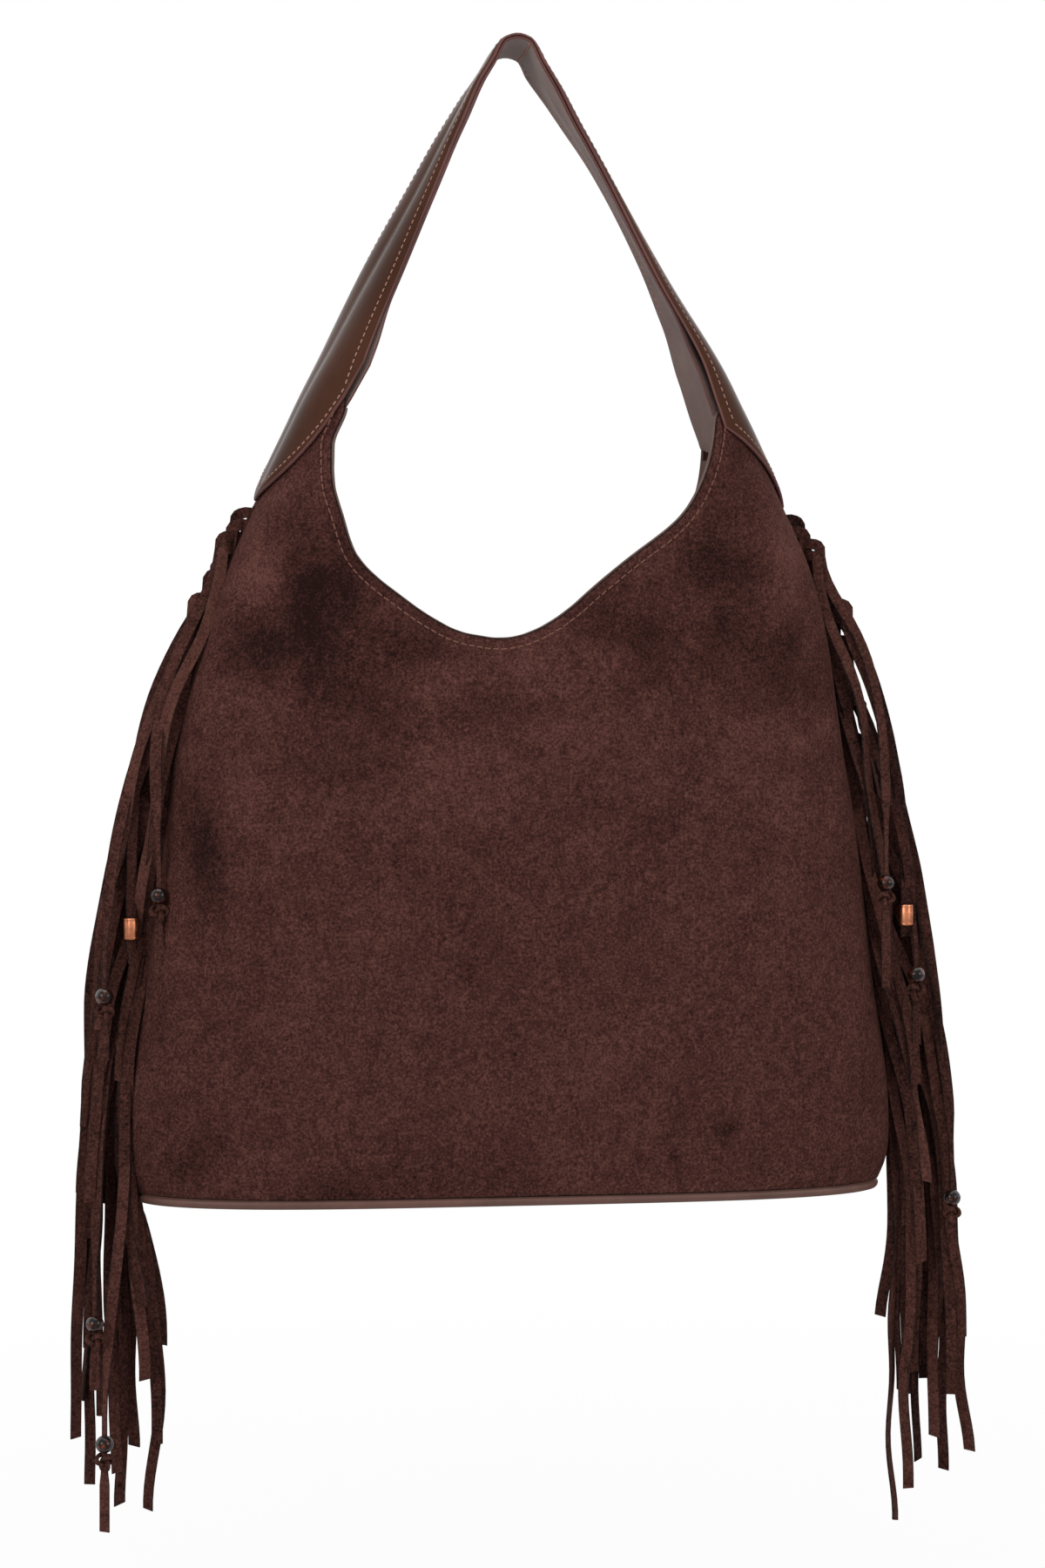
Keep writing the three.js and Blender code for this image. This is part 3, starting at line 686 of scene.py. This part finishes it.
# Strap: an outer layer and a lining, each with a rounded edge
def strap_rows(inset_at, rows=84, columns=26):
    """Points of one face of the strap, moved inwards by inset_at(height, across)."""
    def half(lift):
        def point(u, v):
            across = mix(-1, 1, u)
            share = mix(strap_end_share(across, lift), 1, v)
            return moved(strap_point, across, share, inset_at(strap_point(across, share).z, across))
        return grid(rows, columns, point)

    right = half(0.0)
    left = [[Vector((-p.x, p.y, p.z)) for p in row] for row in reversed(half(LEFT_CORNER_LIFT))]
    crown = [[Vector((p.x * share, p.y, p.z)) for p in right[-1]] for share in (0.6, 0.2, -0.2, -0.6)]
    return right + crown + left


def lining_inset(height, across):
    """The lining lies inside the wings, and above them against the outer layer."""
    free = ease(height, WING_TOP + 25, WING_TOP + 50)
    return LINING_INSET * (1 - free) - 0.35 * free


def strap_layer(name, node_name, slot_name, material, outer_inset, inner_inset):
    points, faces, rim = sheet_mesh(strap_rows(outer_inset), strap_rows(inner_inset), 0.6)
    layer = new_piece(name, [lean(p) for p in points], faces, (material, strap_edge), slot_name, rim)
    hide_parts(node_name)


strap_layer(
    "strap_leather_outer", "strap_outer", "strap_leather", strap_leather,
    lambda height, across: OUTSIDE + 0.5 * ease(abs(across), 0.86, 1.0), lambda height, across: -STRAP_GAP,
)
strap_layer(
    "strap_leather_under", "strap_lining", "strap_lining", strap_under,
    lining_inset, lambda height, across: lining_inset(height, across) + STRAP_LINING_THICKNESS,
)


# Base: leather over a board, with a rounded edge and a raised welt under the suede, as heights and insets
BASE_PROFILE = (
    (0.0, 14.0), (0.0, 2.2), (0.35, 0.9), (1.1, 0.15), (2.1, -0.25), (3.0, -0.2), (3.6, 0.25), (3.8, 0.9),
    (4.1, 1.0), (4.5, 1.4), (4.5, 14.0),
)


def base_ring(height, inset, steps=72):
    ring = []
    for side in (1, -1):
        for i in range(steps + 1):
            share = mix(-SEAM_SHARE, SEAM_SHARE, i / steps)
            p = moved(hull_point, share, BASE_THICKNESS, inset)
            ring.append(Vector((side * p.x, side * p.y, height)))
    return ring


base_points = [p for height, inset in BASE_PROFILE for p in base_ring(height, inset)]
base_faces = ring_faces(len(BASE_PROFILE), len(base_points) // len(BASE_PROFILE))
base = new_piece("base_leather_board", base_points, base_faces, (base_leather,), "base_leather")
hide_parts("base_panel")


# Edge of the facing, rolled over the top of the suede at the mouth
def mouth_path(edge, seed, inset=0.0, rise=0.0, steps=170):
    shares = [mix(-0.72, 0.72, i / steps) for i in range(steps + 1)]
    return [draped(share, edge(share), seed, inset) + Vector((0, 0, rise)) for share in shares]


for face_name, edge, seed in BAG_FACES:
    roll = mouth_path(edge, seed, SUEDE_THICKNESS + 0.35, 0.15)
    points, faces = tube_mesh(roll, round_section(0.9, 1.05), FORWARD)
    new_piece("mouth_roll_" + face_name, hung(points, face_name), faces, (facing_leather,), "strap_lining")

for face_name, edge, seed in BAG_FACES:
    def facing_face(inset):
        def at(u, v):
            share = mix(-SEAM_SHARE, SEAM_SHARE, u)
            top = edge(share)
            height = mix(min(top - FACING_DROP, FACING_FOOT), min(top - 0.6, FACING_TOP), v)
            return draped(share, height, seed, inset, 1.0 if height > top - 12 else 0.6)
        return grid(10, 96, at)

    points, faces, rim = sheet_mesh(facing_face(LINING_INSET), facing_face(LINING_INSET + FACING_THICKNESS), 0.3)
    materials = (facing_leather, strap_edge)
    piece = new_piece("facing_" + face_name, hung(points, face_name), faces, materials, "strap_lining", rim)
    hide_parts("mouth_facing_" + face_name)


# Stitches: short threads that dip into the leather at both ends
STITCH_MARGIN = 3.6
END_STITCH_RISE = 3.4 / 230
MOUTH_STITCH_MARGIN = 4.0
LINING_STITCHES_FROM = 408.0


def stitch_row(path_at, length, pitch=3.3, stitch=1.9, width=0.44):
    """Stitches along path_at(distance) -> (point, normal), for a length in millimetres."""
    parts = []
    section = round_section(width, 0.2, 6)
    for k in range(int(length / pitch)):
        start = k * pitch + 0.4
        across = path_at(start)[1]
        spine = []
        for j in range(5):
            point, normal = path_at(start + stitch * j / 4)
            spine.append(point + normal * (0.16 * sin(pi * j / 4) - 0.1))
        parts.append(tube_mesh(spine, section, lambda i, along: across.cross(along)))
    return parts


def measured(path, normals):
    """A path as a function of the distance along it, with its whole length."""
    reach = [0.0]
    for a, b in zip(path, path[1:]):
        reach.append(reach[-1] + (b - a).length)

    def at(distance):
        i = 0
        while i < len(path) - 2 and reach[i + 1] < distance:
            i += 1
        share = (distance - reach[i]) / max(1e-9, reach[i + 1] - reach[i])
        return path[i].lerp(path[i + 1], share), normals[i].lerp(normals[i + 1], share).normalized()

    return at, reach[-1]


def edge_places(side, lift):
    """Places along one long edge of a half of the strap, as across and share."""
    foot = strap_end_share(side * (1 - STITCH_MARGIN / END_HALF_DEPTH), lift) + 0.02
    shares = [mix(foot, 1, i / 120) for i in range(121)]
    return [(side * (1 - STITCH_MARGIN / strap_half_depth(arch_point(share)[1])), share) for share in shares]


def end_places(side, lift):
    """Places along one half of the strap's pointed end."""
    acrosses = [side * mix(0.05, 0.93, i / 40) for i in range(41)]
    return [(across, strap_end_share(across, lift) + END_STITCH_RISE) for across in acrosses]


stitches = []
for lift in (0.0, LEFT_CORNER_LIFT):
    for side in (-1, 1):
        for places, inset, outward in (
            (edge_places(side, lift), OUTSIDE, 1), (end_places(side, lift), OUTSIDE, 1),
            (edge_places(side, lift), STRAP_LINING_THICKNESS - 0.35, -1),
        ):
            path, normals = [], []
            for across, share in places:
                normal = normal_of(strap_point, across, share)
                point = strap_point(across, share) - normal * inset
                if lift:
                    point.x, normal.x = -point.x, -normal.x
                point = lean(point)
                if outward > 0 or point.z > LINING_STITCHES_FROM:
                    path.append(point)
                    normals.append(normal * outward)
            stitches += stitch_row(*measured(path, normals))

# The seam across the lining where its two halves meet at the top
seam_path = [
    lean(moved(strap_point, across, 0.997, STRAP_LINING_THICKNESS - 0.2)) for across in np.linspace(-0.94, 0.94, 14)
]
stitches.append(tube_mesh(seam_path, round_section(0.5, 0.4), Vector((1, 0, 0))))
new_piece("strap_stitches", *joined(stitches), (thread,), "strap_leather")

for face_name, edge, seed in BAG_FACES:
    path, normals = [], []
    rim_path = mouth_path(edge, seed)
    for before, point, after in zip(rim_path, rim_path[1:], rim_path[2:]):
        along = (after - before).normalized()
        normal = FORWARD + Vector((copysign(0.25, point.x), 0, 0)) * ease(abs(point.x), 30, 80)
        normal = (normal - along * normal.dot(along)).normalized()
        down = along.cross(normal)
        path.append(point + down * MOUTH_STITCH_MARGIN * (-1 if down.z > 0 else 1))
        normals.append(normal)
    points, faces = joined(stitch_row(*measured(path, normals), 3.7, 2.7, 0.36))
    new_piece("mouth_stitches_" + face_name, hung(points, face_name), faces, (dark_thread,), "suede")


# Fringe: strands cut from a strip in each side seam, spread so that they hang beside each other
STRAND_PITCH = 5.6
STRAND_HALF_WIDTH = 2.75
STRAND_HALF_THICKNESS = 0.48
FRINGE_TOP = 313.0
FRINGE_BOTTOM = 45.0
STRAND_DROP = 190.0
LEVELS = np.arange(311.0, -176.0, -6.0)
BUNCH_TURN_HEIGHT = 30.0
SHOULDER_BEND = 3.0
# How far out the innermost and outermost strands hang, by height
FRINGE_INNER = through_stations((
    (-160, 166), (-60, 167), (-15, 172), (57, 172), (80, 168), (109, 161), (144, 154), (190, 152), (227, 151.5),
    (247, 149.5), (261, 146), (281, 137), (300, 130.5), (314, 125),
))
FRINGE_OUTER = through_stations((
    (-160, 206), (-72, 206), (20, 202), (94, 197), (142, 190), (170, 184), (213, 173.5), (261, 155), (300, 137.5),
    (314, 129),
))
# The whole bag hangs a little to its left, so the two fringes do not end alike
FRINGE_SWING = {-1: -6.5, 1: 9.0}
FRINGE_TRIM = {-1: -5.0, 1: 0.0}
SPREAD_STEP = 0.618034
LAYER_STEP = 0.754878
BEAD_RADIUS = 4.0
KNOT_DROP = 7.6
SLEEVE_RADIUS = 3.4
SLEEVE_LENGTH = 9.6
SLEEVE_STUB = 5.0
DISC_OFFSET = 1.9
CLEAR_DISTANCE = 1.62
BEAD_CLEARANCE = 1.1
KNOT_CLEAR_RADIUS = 4.9
SECTION_SIZE = 8


class Threaded:
    """A bead or sleeve: the height of its strand's root, and where it hangs."""

    def __init__(self, side, name, strand, drop, out, forward):
        self.side, self.name, self.y = side, name, -forward
        self.root = FRINGE_TOP - STRAND_PITCH * (strand + 0.5)
        self.height = self.root - drop
        self.x = side_at(max(self.height, BUNCH_TURN_HEIGHT)) + out
        self.is_bead = name.startswith("bead")
        self.radius = BEAD_RADIUS if self.is_bead else SLEEVE_RADIUS


# Side, name, number of its strand, then how far below the root it hangs, and how far out and forward
THREADED = [Threaded(*numbers) for numbers in (
    (-1, "sleeve_left", 0, 187.2, 8.1, 16), (-1, "bead_left_1", 2, 161, -2, 25),
    (-1, "bead_left_2", 8, 171.4, 16.3, 30), (-1, "bead_left_3", 34, 171.8, 12.9, 18),
    (-1, "bead_left_4", 43, 172.4, 8.9, 30), (1, "sleeve_right", 0, 183.2, 15.6, 20),
    (1, "bead_right_1", 2, 157, 6.5, 25), (1, "bead_right_2", 8, 165.4, 14.1, 30),
    (1, "bead_right_3", 26, 168.6, 25.9, 20),
)]


class Strand:
    """What one strand is aimed at before the strands are spread clear of each other."""

    def __init__(self, side, index, root, rng, threaded):
        self.side, self.root, self.threaded = side, root, threaded
        self.share = (SPREAD_STEP * (index + 1)) % 1
        self.reach = min(mix(3.0, 8.2, self.share ** 2), 3.6 + 0.9 * index) + rng.uniform(-0.3, 0.6)
        self.layer = (LAYER_STEP * (index + 1)) % 1
        # Each strand's tone varies at random, and strands further back are painted darker as shade
        self.tone = rng.uniform(-0.3, 0.5) - 0.45 * self.layer
        self.drop = STRAND_DROP + rng.uniform(-13, 16) + 10 * ease(index, 24, 44)
        turn = rng.random()
        wide_turn = 0.35 if turn < 0.7 else 0.75 if turn < 0.9 else 1.4
        self.turn = rng.choice((-1, 1)) * wide_turn * rng.uniform(0.5, 1.0)
        self.phase = rng.uniform(0, 6.28)
        self.wave = rng.uniform(60, 110)
        self.sway = rng.uniform(0.6, 2.4)
        self.curl = rng.uniform(-1, 1) ** 3 * 8
        self.half_width = STRAND_HALF_WIDTH * rng.uniform(0.9, 1.03)
        if threaded:
            self.turn *= 0.35
            self.sway, self.curl = 0.5, 0.0
            if not threaded.is_bead:
                self.drop = root - (threaded.height - SLEEVE_LENGTH / 2 - SLEEVE_STUB)

    def aim(self, height):
        drop = self.root - height
        fallen = ease(drop, 0, mix(80, 28, self.share ** 2))
        target = mix(FRINGE_INNER(height), FRINGE_OUTER(height), self.share)
        low = 1 - (ease(height, 10, 150) if self.side < 0 else ease(height, -40, 110))
        target += FRINGE_SWING[self.side] * low + FRINGE_TRIM[self.side] * self.share * (1 - low)
        x = mix(side_at(self.root) + self.reach, target, fallen)
        front = 15 - 3 * ease(height, 180, 300) - 27 * self.layer + 6 * (1 - self.share)
        y = -front * mix(0.45, 1.0, fallen)
        loose = ease(drop, 20, 120)
        x += 0.8 * self.sway * loose * sin(height / self.wave * 6.28 + self.phase)
        y += 1.3 * self.sway * loose * cos(height / self.wave * 5.1 + 2 * self.phase)
        x += self.curl * ease(drop, self.drop - 60, self.drop + 20) ** 1.5
        if self.threaded:
            held = ease(drop, 0, self.root - self.threaded.height - 12)
            x = mix(x, self.threaded.x, held)
            y = mix(y, self.threaded.y, held)
        return x, y

    def angle(self, height):
        drop = self.root - height
        turn = self.turn * ease(drop, 12, 75)
        return turn + 0.3 * ease(drop, 20, 90) * sin(height / 41 + self.phase)


def spread_strands(strands, rounds):
    """Moves the strands apart level by level until they lie clear of each other, the body and the beads."""
    count, levels = len(strands), len(LEVELS)
    aims = np.array([[s.aim(h) for s in strands] for h in LEVELS])
    angles = np.array([[s.angle(h) for s in strands] for h in LEVELS])[:, :, None]
    active = np.array([[s.root - SHOULDER_BEND - 1 >= h >= s.root - s.drop for s in strands] for h in LEVELS])
    firsts = [int(np.argmax(active[:, i])) for i in range(count)]
    lasts = [levels - 1 - int(np.argmax(active[::-1, i])) for i in range(count)]
    free = np.ones(active.shape)
    solids = []
    for i, s in enumerate(strands):
        free[firsts[i], i] = 0.25
        if s.threaded:
            held = s.threaded
            free[:, i] = np.clip((np.abs(LEVELS - held.height) - 12) / 40, 0, 0.6)
            solids.append((i, held.height, 6.5, held.x, held.y, held.radius + BEAD_CLEARANCE))
            if held.is_bead:
                solids.append((i, held.height - KNOT_DROP, 7, held.x, held.y, KNOT_CLEAR_RADIUS))
    x, y = aims[:, :, 0].copy(), aims[:, :, 1].copy()
    y += 0.05 * np.sin(np.arange(count) * 2.4)[None, :]
    # Three discs across each strand's width stand for it
    offsets = np.array([-DISC_OFFSET, 0.0, DISC_OFFSET])
    owner = np.repeat(np.arange(count), 3)
    disc_active = np.repeat(active, 3, axis=1)
    pairs = (owner[:, None] != owner[None, :])[None] & disc_active[:, :, None] & disc_active[:, None, :]
    beside_body = [clamp(h, 0, BODY_TOP) for h in LEVELS]
    sides = np.array([[side_at(h)] for h in beside_body]) + 2.6
    depths = np.array([[depth_at(h)] for h in beside_body]) + 3.4
    beside = (LEVELS > -4)[:, None]

    def by_strand(values):
        return values.sum(2).reshape(levels, count, 3).sum(2)

    for _ in range(rounds):
        px = (x[:, :, None] + offsets * np.cos(angles)).reshape(levels, -1)
        py = (y[:, :, None] + offsets * np.sin(angles)).reshape(levels, -1)
        dx = px[:, :, None] - px[:, None, :]
        dy = py[:, :, None] - py[:, None, :]
        apart = np.sqrt(dx * dx + dy * dy) + 1e-6
        push = np.where(pairs & (apart < CLEAR_DISTANCE), CLEAR_DISTANCE - apart, 0.0)
        touching = np.maximum(1, by_strand(push > 0))
        x += 0.45 * (by_strand(push * dx / apart) / touching) * free
        y += 1.1 * (by_strand(push * dy / apart) / touching) * free
        for own, height, reach, sx, sy, radius in solids:
            near = np.abs(LEVELS - height) < reach
            ox, oy = x[near] - sx, y[near] - sy
            gap = np.sqrt(ox * ox + oy * oy) + 1e-6
            out = np.clip(radius + 1.6 - gap, 0, None)
            out[:, own] = 0
            x[near] += 0.6 * out * ox / gap * free[near]
            y[near] += 0.6 * out * oy / gap * free[near]
            # Nothing hangs in front of a bead or sleeve
            back = np.clip(sy + radius + 2.0 - y[near], 0, 8) * (np.abs(x[near] - sx) < radius + 2.4)
            back[:, own] = 0
            y[near] += 0.5 * back * free[near]
        x += 0.08 * (aims[:, :, 0] - x) * free
        y += 0.03 * (aims[:, :, 1] - y) * free
        for values in (x, y):
            for i in range(count):
                values[: firsts[i], i] = values[firsts[i], i]
                values[lasts[i] + 1 :, i] = values[lasts[i], i]
            smooth = 0.5 * values[1:-1] + 0.25 * (values[:-2] + values[2:])
            values[1:-1] += (smooth - values[1:-1]) * np.minimum(1, free[1:-1] * 2) * 0.8
        inside = beside & ((np.abs(x) / sides) ** 4 + (y / depths) ** 2 < 1) & (free > 0.05)
        x_out = sides * np.clip(1 - (y / depths) ** 2, 0, 1) ** 0.25
        y_out = depths * np.sqrt(np.clip(1 - (np.abs(x) / sides) ** 4, 0, 1))
        by_x = (x_out - x) < (y_out - np.abs(y))
        x = np.where(inside & by_x, x_out, x)
        y = np.where(inside & ~by_x, np.where(y < 0, -y_out, y_out), y)
    return x, y, firsts, lasts


def strand_path(strand, x, y, first, last):
    """Centre line of a strand, and how wide it is at each of its points."""
    root, side, held = strand.root, side_at(strand.root), strand.threaded
    bend = x[first] - SHOULDER_BEND
    points = [
        Vector((side + 0.3, 0, root)), Vector((side + 1.4, 0, root + 0.1)),
        Vector((mix(side, bend, 0.5) + 0.7, 0.45 * y[first], root + 0.4)),
    ]
    for angle in (15, 40, 65):
        turn = radians(angle)
        out, down = SHOULDER_BEND * sin(turn), SHOULDER_BEND * (1 - cos(turn))
        points.append(Vector((bend + out, mix(0.75, 1.0, angle / 65) * y[first], root - down)))
    for k in range(first, last + 1):
        if LEVELS[k] < root - SHOULDER_BEND - 1:
            points.append(Vector((x[k], y[k], LEVELS[k])))
    tip = root - strand.drop
    if points[-1].z - tip > 1.5:
        points.append(Vector((x[last], y[last], tip)))
    widths = [strand.half_width] * len(points)
    if held and held.is_bead:
        for i, p in enumerate(points):
            narrow = mix(1.15, strand.half_width, ease(abs(p.z - held.height - 10), 14, 34))
            widths[i] = narrow if p.z > held.height - 14 else strand.half_width * 0.9
    return points, widths


def strand_mesh(strand, points, widths, rng):
    slant = rng.uniform(-0.35, 0.35)
    last = len(points) - 1

    def sections(i):
        w = widths[i]
        t = STRAND_HALF_THICKNESS * (1.0 if w > 1.5 else 1.35)
        c = min(0.24, t * 0.5)
        return [(w, c - t), (w, t - c), (w - c, t), (c - w, t), (-w, t - c), (-w, c - t), (c - w, -t), (w - c, -t)]

    def wide_at(i, along):
        turn = strand.angle(points[i].z) if i > 5 else 0.0
        level = along.cross(Vector((0, 1, 0)))
        if level.length < 0.2:
            level = Vector((1, 0, 0))
        return Quaternion(along, -turn) @ level.normalized()

    ring_points, faces = tube_mesh(points, sections, wide_at)
    tip = last * SECTION_SIZE
    for k in range(tip, tip + SECTION_SIZE):
        ring_points[k] = ring_points[k] + Vector((0, 0, slant * (ring_points[k].x - points[last].x)))
    edges = [n for n in range(tip) if n % SECTION_SIZE not in (2, 6)] + [tip, tip + 1]
    return ring_points, faces, edges


def knot_mesh(centre, size, turn, steps=54):
    """A strand pulled through its own loop."""
    path = []
    for k in range(steps):
        t = tau * k / steps
        x = sin(t) + 2 * sin(2 * t)
        z = cos(t) - 2 * cos(2 * t)
        path.append(Vector((x * size[0] / 6, -sin(3 * t) * size[1] / 2, z * size[2] / 6)))
    twist = Quaternion(Vector((0, 0, 1)), turn)
    path = [twist @ p + centre for p in path]
    return tube_mesh(path, round_section(1.5, 0.95), lambda i, along: (path[i] - centre).cross(along), closed=True)


def fringe_piece(side, name, node_name, seed):
    rng = random.Random(seed)
    threaded = [t for t in THREADED if t.side == side]
    strands = []
    for i in range(int((FRINGE_TOP - FRINGE_BOTTOM) / STRAND_PITCH)):
        root = FRINGE_TOP - STRAND_PITCH * (i + 0.5)
        mine = next((t for t in threaded if abs(t.root - root) <= STRAND_PITCH / 2), None)
        strands.append(Strand(side, i, root, rng, mine))
    x, y, firsts, lasts = spread_strands(strands, 36)
    points, faces, edges, tones = [], [], [], []

    def add(part_points, part_faces, part_edges=(), tone=0.0):
        tones.extend([tone] * len(part_points))
        start, first_face = len(points), len(faces)
        points.extend(Vector((side * p.x + sway(p.z), p.y, p.z)) for p in part_points)
        faces.extend(tuple(start + k for k in face[::side]) for face in part_faces)
        edges.extend(first_face + k for k in part_edges)

    header = [Vector((side_at(h), 0, h)) for h in np.linspace(FRINGE_TOP, FRINGE_BOTTOM - STRAND_PITCH, 46)]
    strip = [(1.3, -0.5), (1.3, 0.5), (-1.4, 0.5), (-1.4, -0.5)]
    add(*tube_mesh(header, strip, Vector((1, 0, 0))))
    for i, strand in enumerate(strands):
        path, widths = strand_path(strand, x[:, i], y[:, i], firsts[i], lasts[i])
        add(*strand_mesh(strand, path, widths, rng), strand.tone)
        held = strand.threaded
        if held and held.is_bead:
            centre = Vector((held.x, held.y, held.height - KNOT_DROP))
            add(*knot_mesh(centre, (7.4, 3.6, 7.6), rng.uniform(-0.5, 0.5)))
    materials = (fringe_suede, fringe_edge)
    obj = new_piece(name, points, faces, materials, "fringe_suede", edges, tones, smooth=False)
    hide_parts(node_name)


fringe_piece(-1, "fringe_strands_left", "fringe_left", 4201)
fringe_piece(1, "fringe_strands_right", "fringe_right", 977)


# Beads and copper sleeves
def bead_profile():
    bore = 1.6
    edge = asin((bore + 0.25) / BEAD_RADIUS)
    end = BEAD_RADIUS * cos(edge)
    profile = [(bore, end - 0.35), (bore + 0.08, end - 0.1)]
    for k in range(21):
        angle = mix(edge, pi - edge, k / 20)
        profile.append((BEAD_RADIUS * sin(angle), 0.97 * BEAD_RADIUS * cos(angle)))
    return profile + [(bore + 0.08, 0.1 - end), (bore, 0.35 - end)]


def sleeve_profile():
    half, outer, inner = SLEEVE_LENGTH / 2, SLEEVE_RADIUS, SLEEVE_RADIUS - 0.6
    profile = [(inner, half - 0.2), (inner + 0.2, half), (outer - 0.2, half), (outer, half - 0.25)]
    for groove in (half - 1.2, 1.2 - half):
        profile += [(outer, groove + 0.3), (outer - 0.07, groove), (outer, groove - 0.3)]
    profile += [(outer, 0.25 - half), (outer - 0.2, -half), (inner + 0.2, -half), (inner, 0.2 - half)]
    return profile

for held in THREADED:
    centre = Vector((held.side * held.x, held.y, held.height))
    # A sleeve is pressed slightly flat where it grips the strand
    points, faces = lathe_mesh(*((bead_profile(), centre) if held.is_bead else (sleeve_profile(), centre, 0.9)))
    material, slot_name = (bead_resin, "bead") if held.is_bead else (copper, "copper")
    obj = new_piece(held.name + "_turned", points, faces, (material,), slot_name)
    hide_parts(held.name)


# Camera, level with the middle of the photograph and slightly to the bag's left
CAMERA_DISTANCE = 1.4
CAMERA_SHIFT = 0.0048
CAMERA_HEIGHT = -0.3373
forward = Vector((0.156, 0.988, 0.0)).normalized()
right = Vector((forward.y, -forward.x, 0.0))
camera = linked("camera", bpy.data.cameras.new("camera"))
camera.data.lens = 70
camera.data.sensor_fit = "VERTICAL"
camera.data.sensor_height = 36
camera.location = forward * -CAMERA_DISTANCE + right * CAMERA_SHIFT + Vector((0, 0, CAMERA_HEIGHT))
camera.rotation_euler = forward.to_track_quat("-Z", "Y").to_euler()
bpy.context.scene.camera = camera

for name, location, target_height, width, height, power in (
    ("softbox_left", (-1.25, -1.3, 0.15), -0.34, 0.8, 0.8, 12.5),
    ("softbox_right", (1.2, -1.35, 0.05), -0.34, 0.7, 0.7, 8.5),
    ("softbox_top", (-0.1, -0.35, 1.1), -0.3, 1.2, 0.9, 8.0),
):
    light = bpy.data.lights.new(name, "AREA")
    light.shape = "RECTANGLE"
    light.size, light.size_y = width, height
    light.energy = power
    lamp = linked(name, light)
    lamp.location = location
    aim = Vector((0, 0, target_height)) - Vector(location)
    lamp.rotation_euler = aim.to_track_quat("-Z", "Y").to_euler()

world = bpy.data.worlds.new("studio")
bpy.context.scene.world = world
world.use_nodes = True
tree = world.node_tree
tree.nodes.clear()
rays = add_node(tree, "LightPath", {}).outputs
seen = rays["Is Camera Ray"]
for key in ("Is Glossy Ray", "Is Transmission Ray"):
    seen = add_node(tree, "Math", {0: seen, 1: rays[key]}, "MAXIMUM").outputs["Value"]
soft, white = (
    add_node(tree, "Background", {"Color": WHITE, "Strength": strength}).outputs["Background"]
    for strength in (0.42, 1.0)
)
choice = add_node(tree, "MixShader", {"Fac": seen, 1: soft, 2: white})
add_node(tree, "OutputWorld", {"Surface": choice.outputs["Shader"]})


# Pale floor, below the lowest strand, which turns to the white of the background away from the bag
FLOOR_HEIGHT = -0.715
FLOOR_REACH = 6.0
floor_mesh = bpy.data.meshes.new("floor")
corners = ((-1, -1), (1, -1), (1, 1), (-1, 1))
floor_mesh.from_pydata([(FLOOR_REACH * x, FLOOR_REACH * y, FLOOR_HEIGHT) for x, y in corners], [], [(0, 1, 2, 3)])
floor = linked("floor", floor_mesh)
finish = Finish("pale_floor", 0.9, 0.1)
finish.shader.inputs["Base Color"].default_value = (0.86, 0.86, 0.86, 1)
tree = finish.tree
distance = add_node(tree, "VectorMath", {0: finish.place}, "LENGTH").outputs["Value"]
far = finish.reach(distance, 0.76, 1.1, 0.95, 1.0)
seen = add_node(tree, "LightPath", {}).outputs["Is Camera Ray"]
share = add_node(tree, "Math", {0: far, 1: seen}, "MULTIPLY").outputs["Value"]
glow = add_node(tree, "Emission", {}).outputs["Emission"]
choice = add_node(tree, "MixShader", {"Fac": share, 1: finish.shader.outputs["BSDF"], 2: glow})
surface = next(n for n in tree.nodes if n.type == "OUTPUT_MATERIAL").inputs["Surface"]
tree.links.new(choice.outputs["Shader"], surface)
floor_mesh.materials.append(finish.material)

bpy.context.scene.view_settings.view_transform = "Standard"
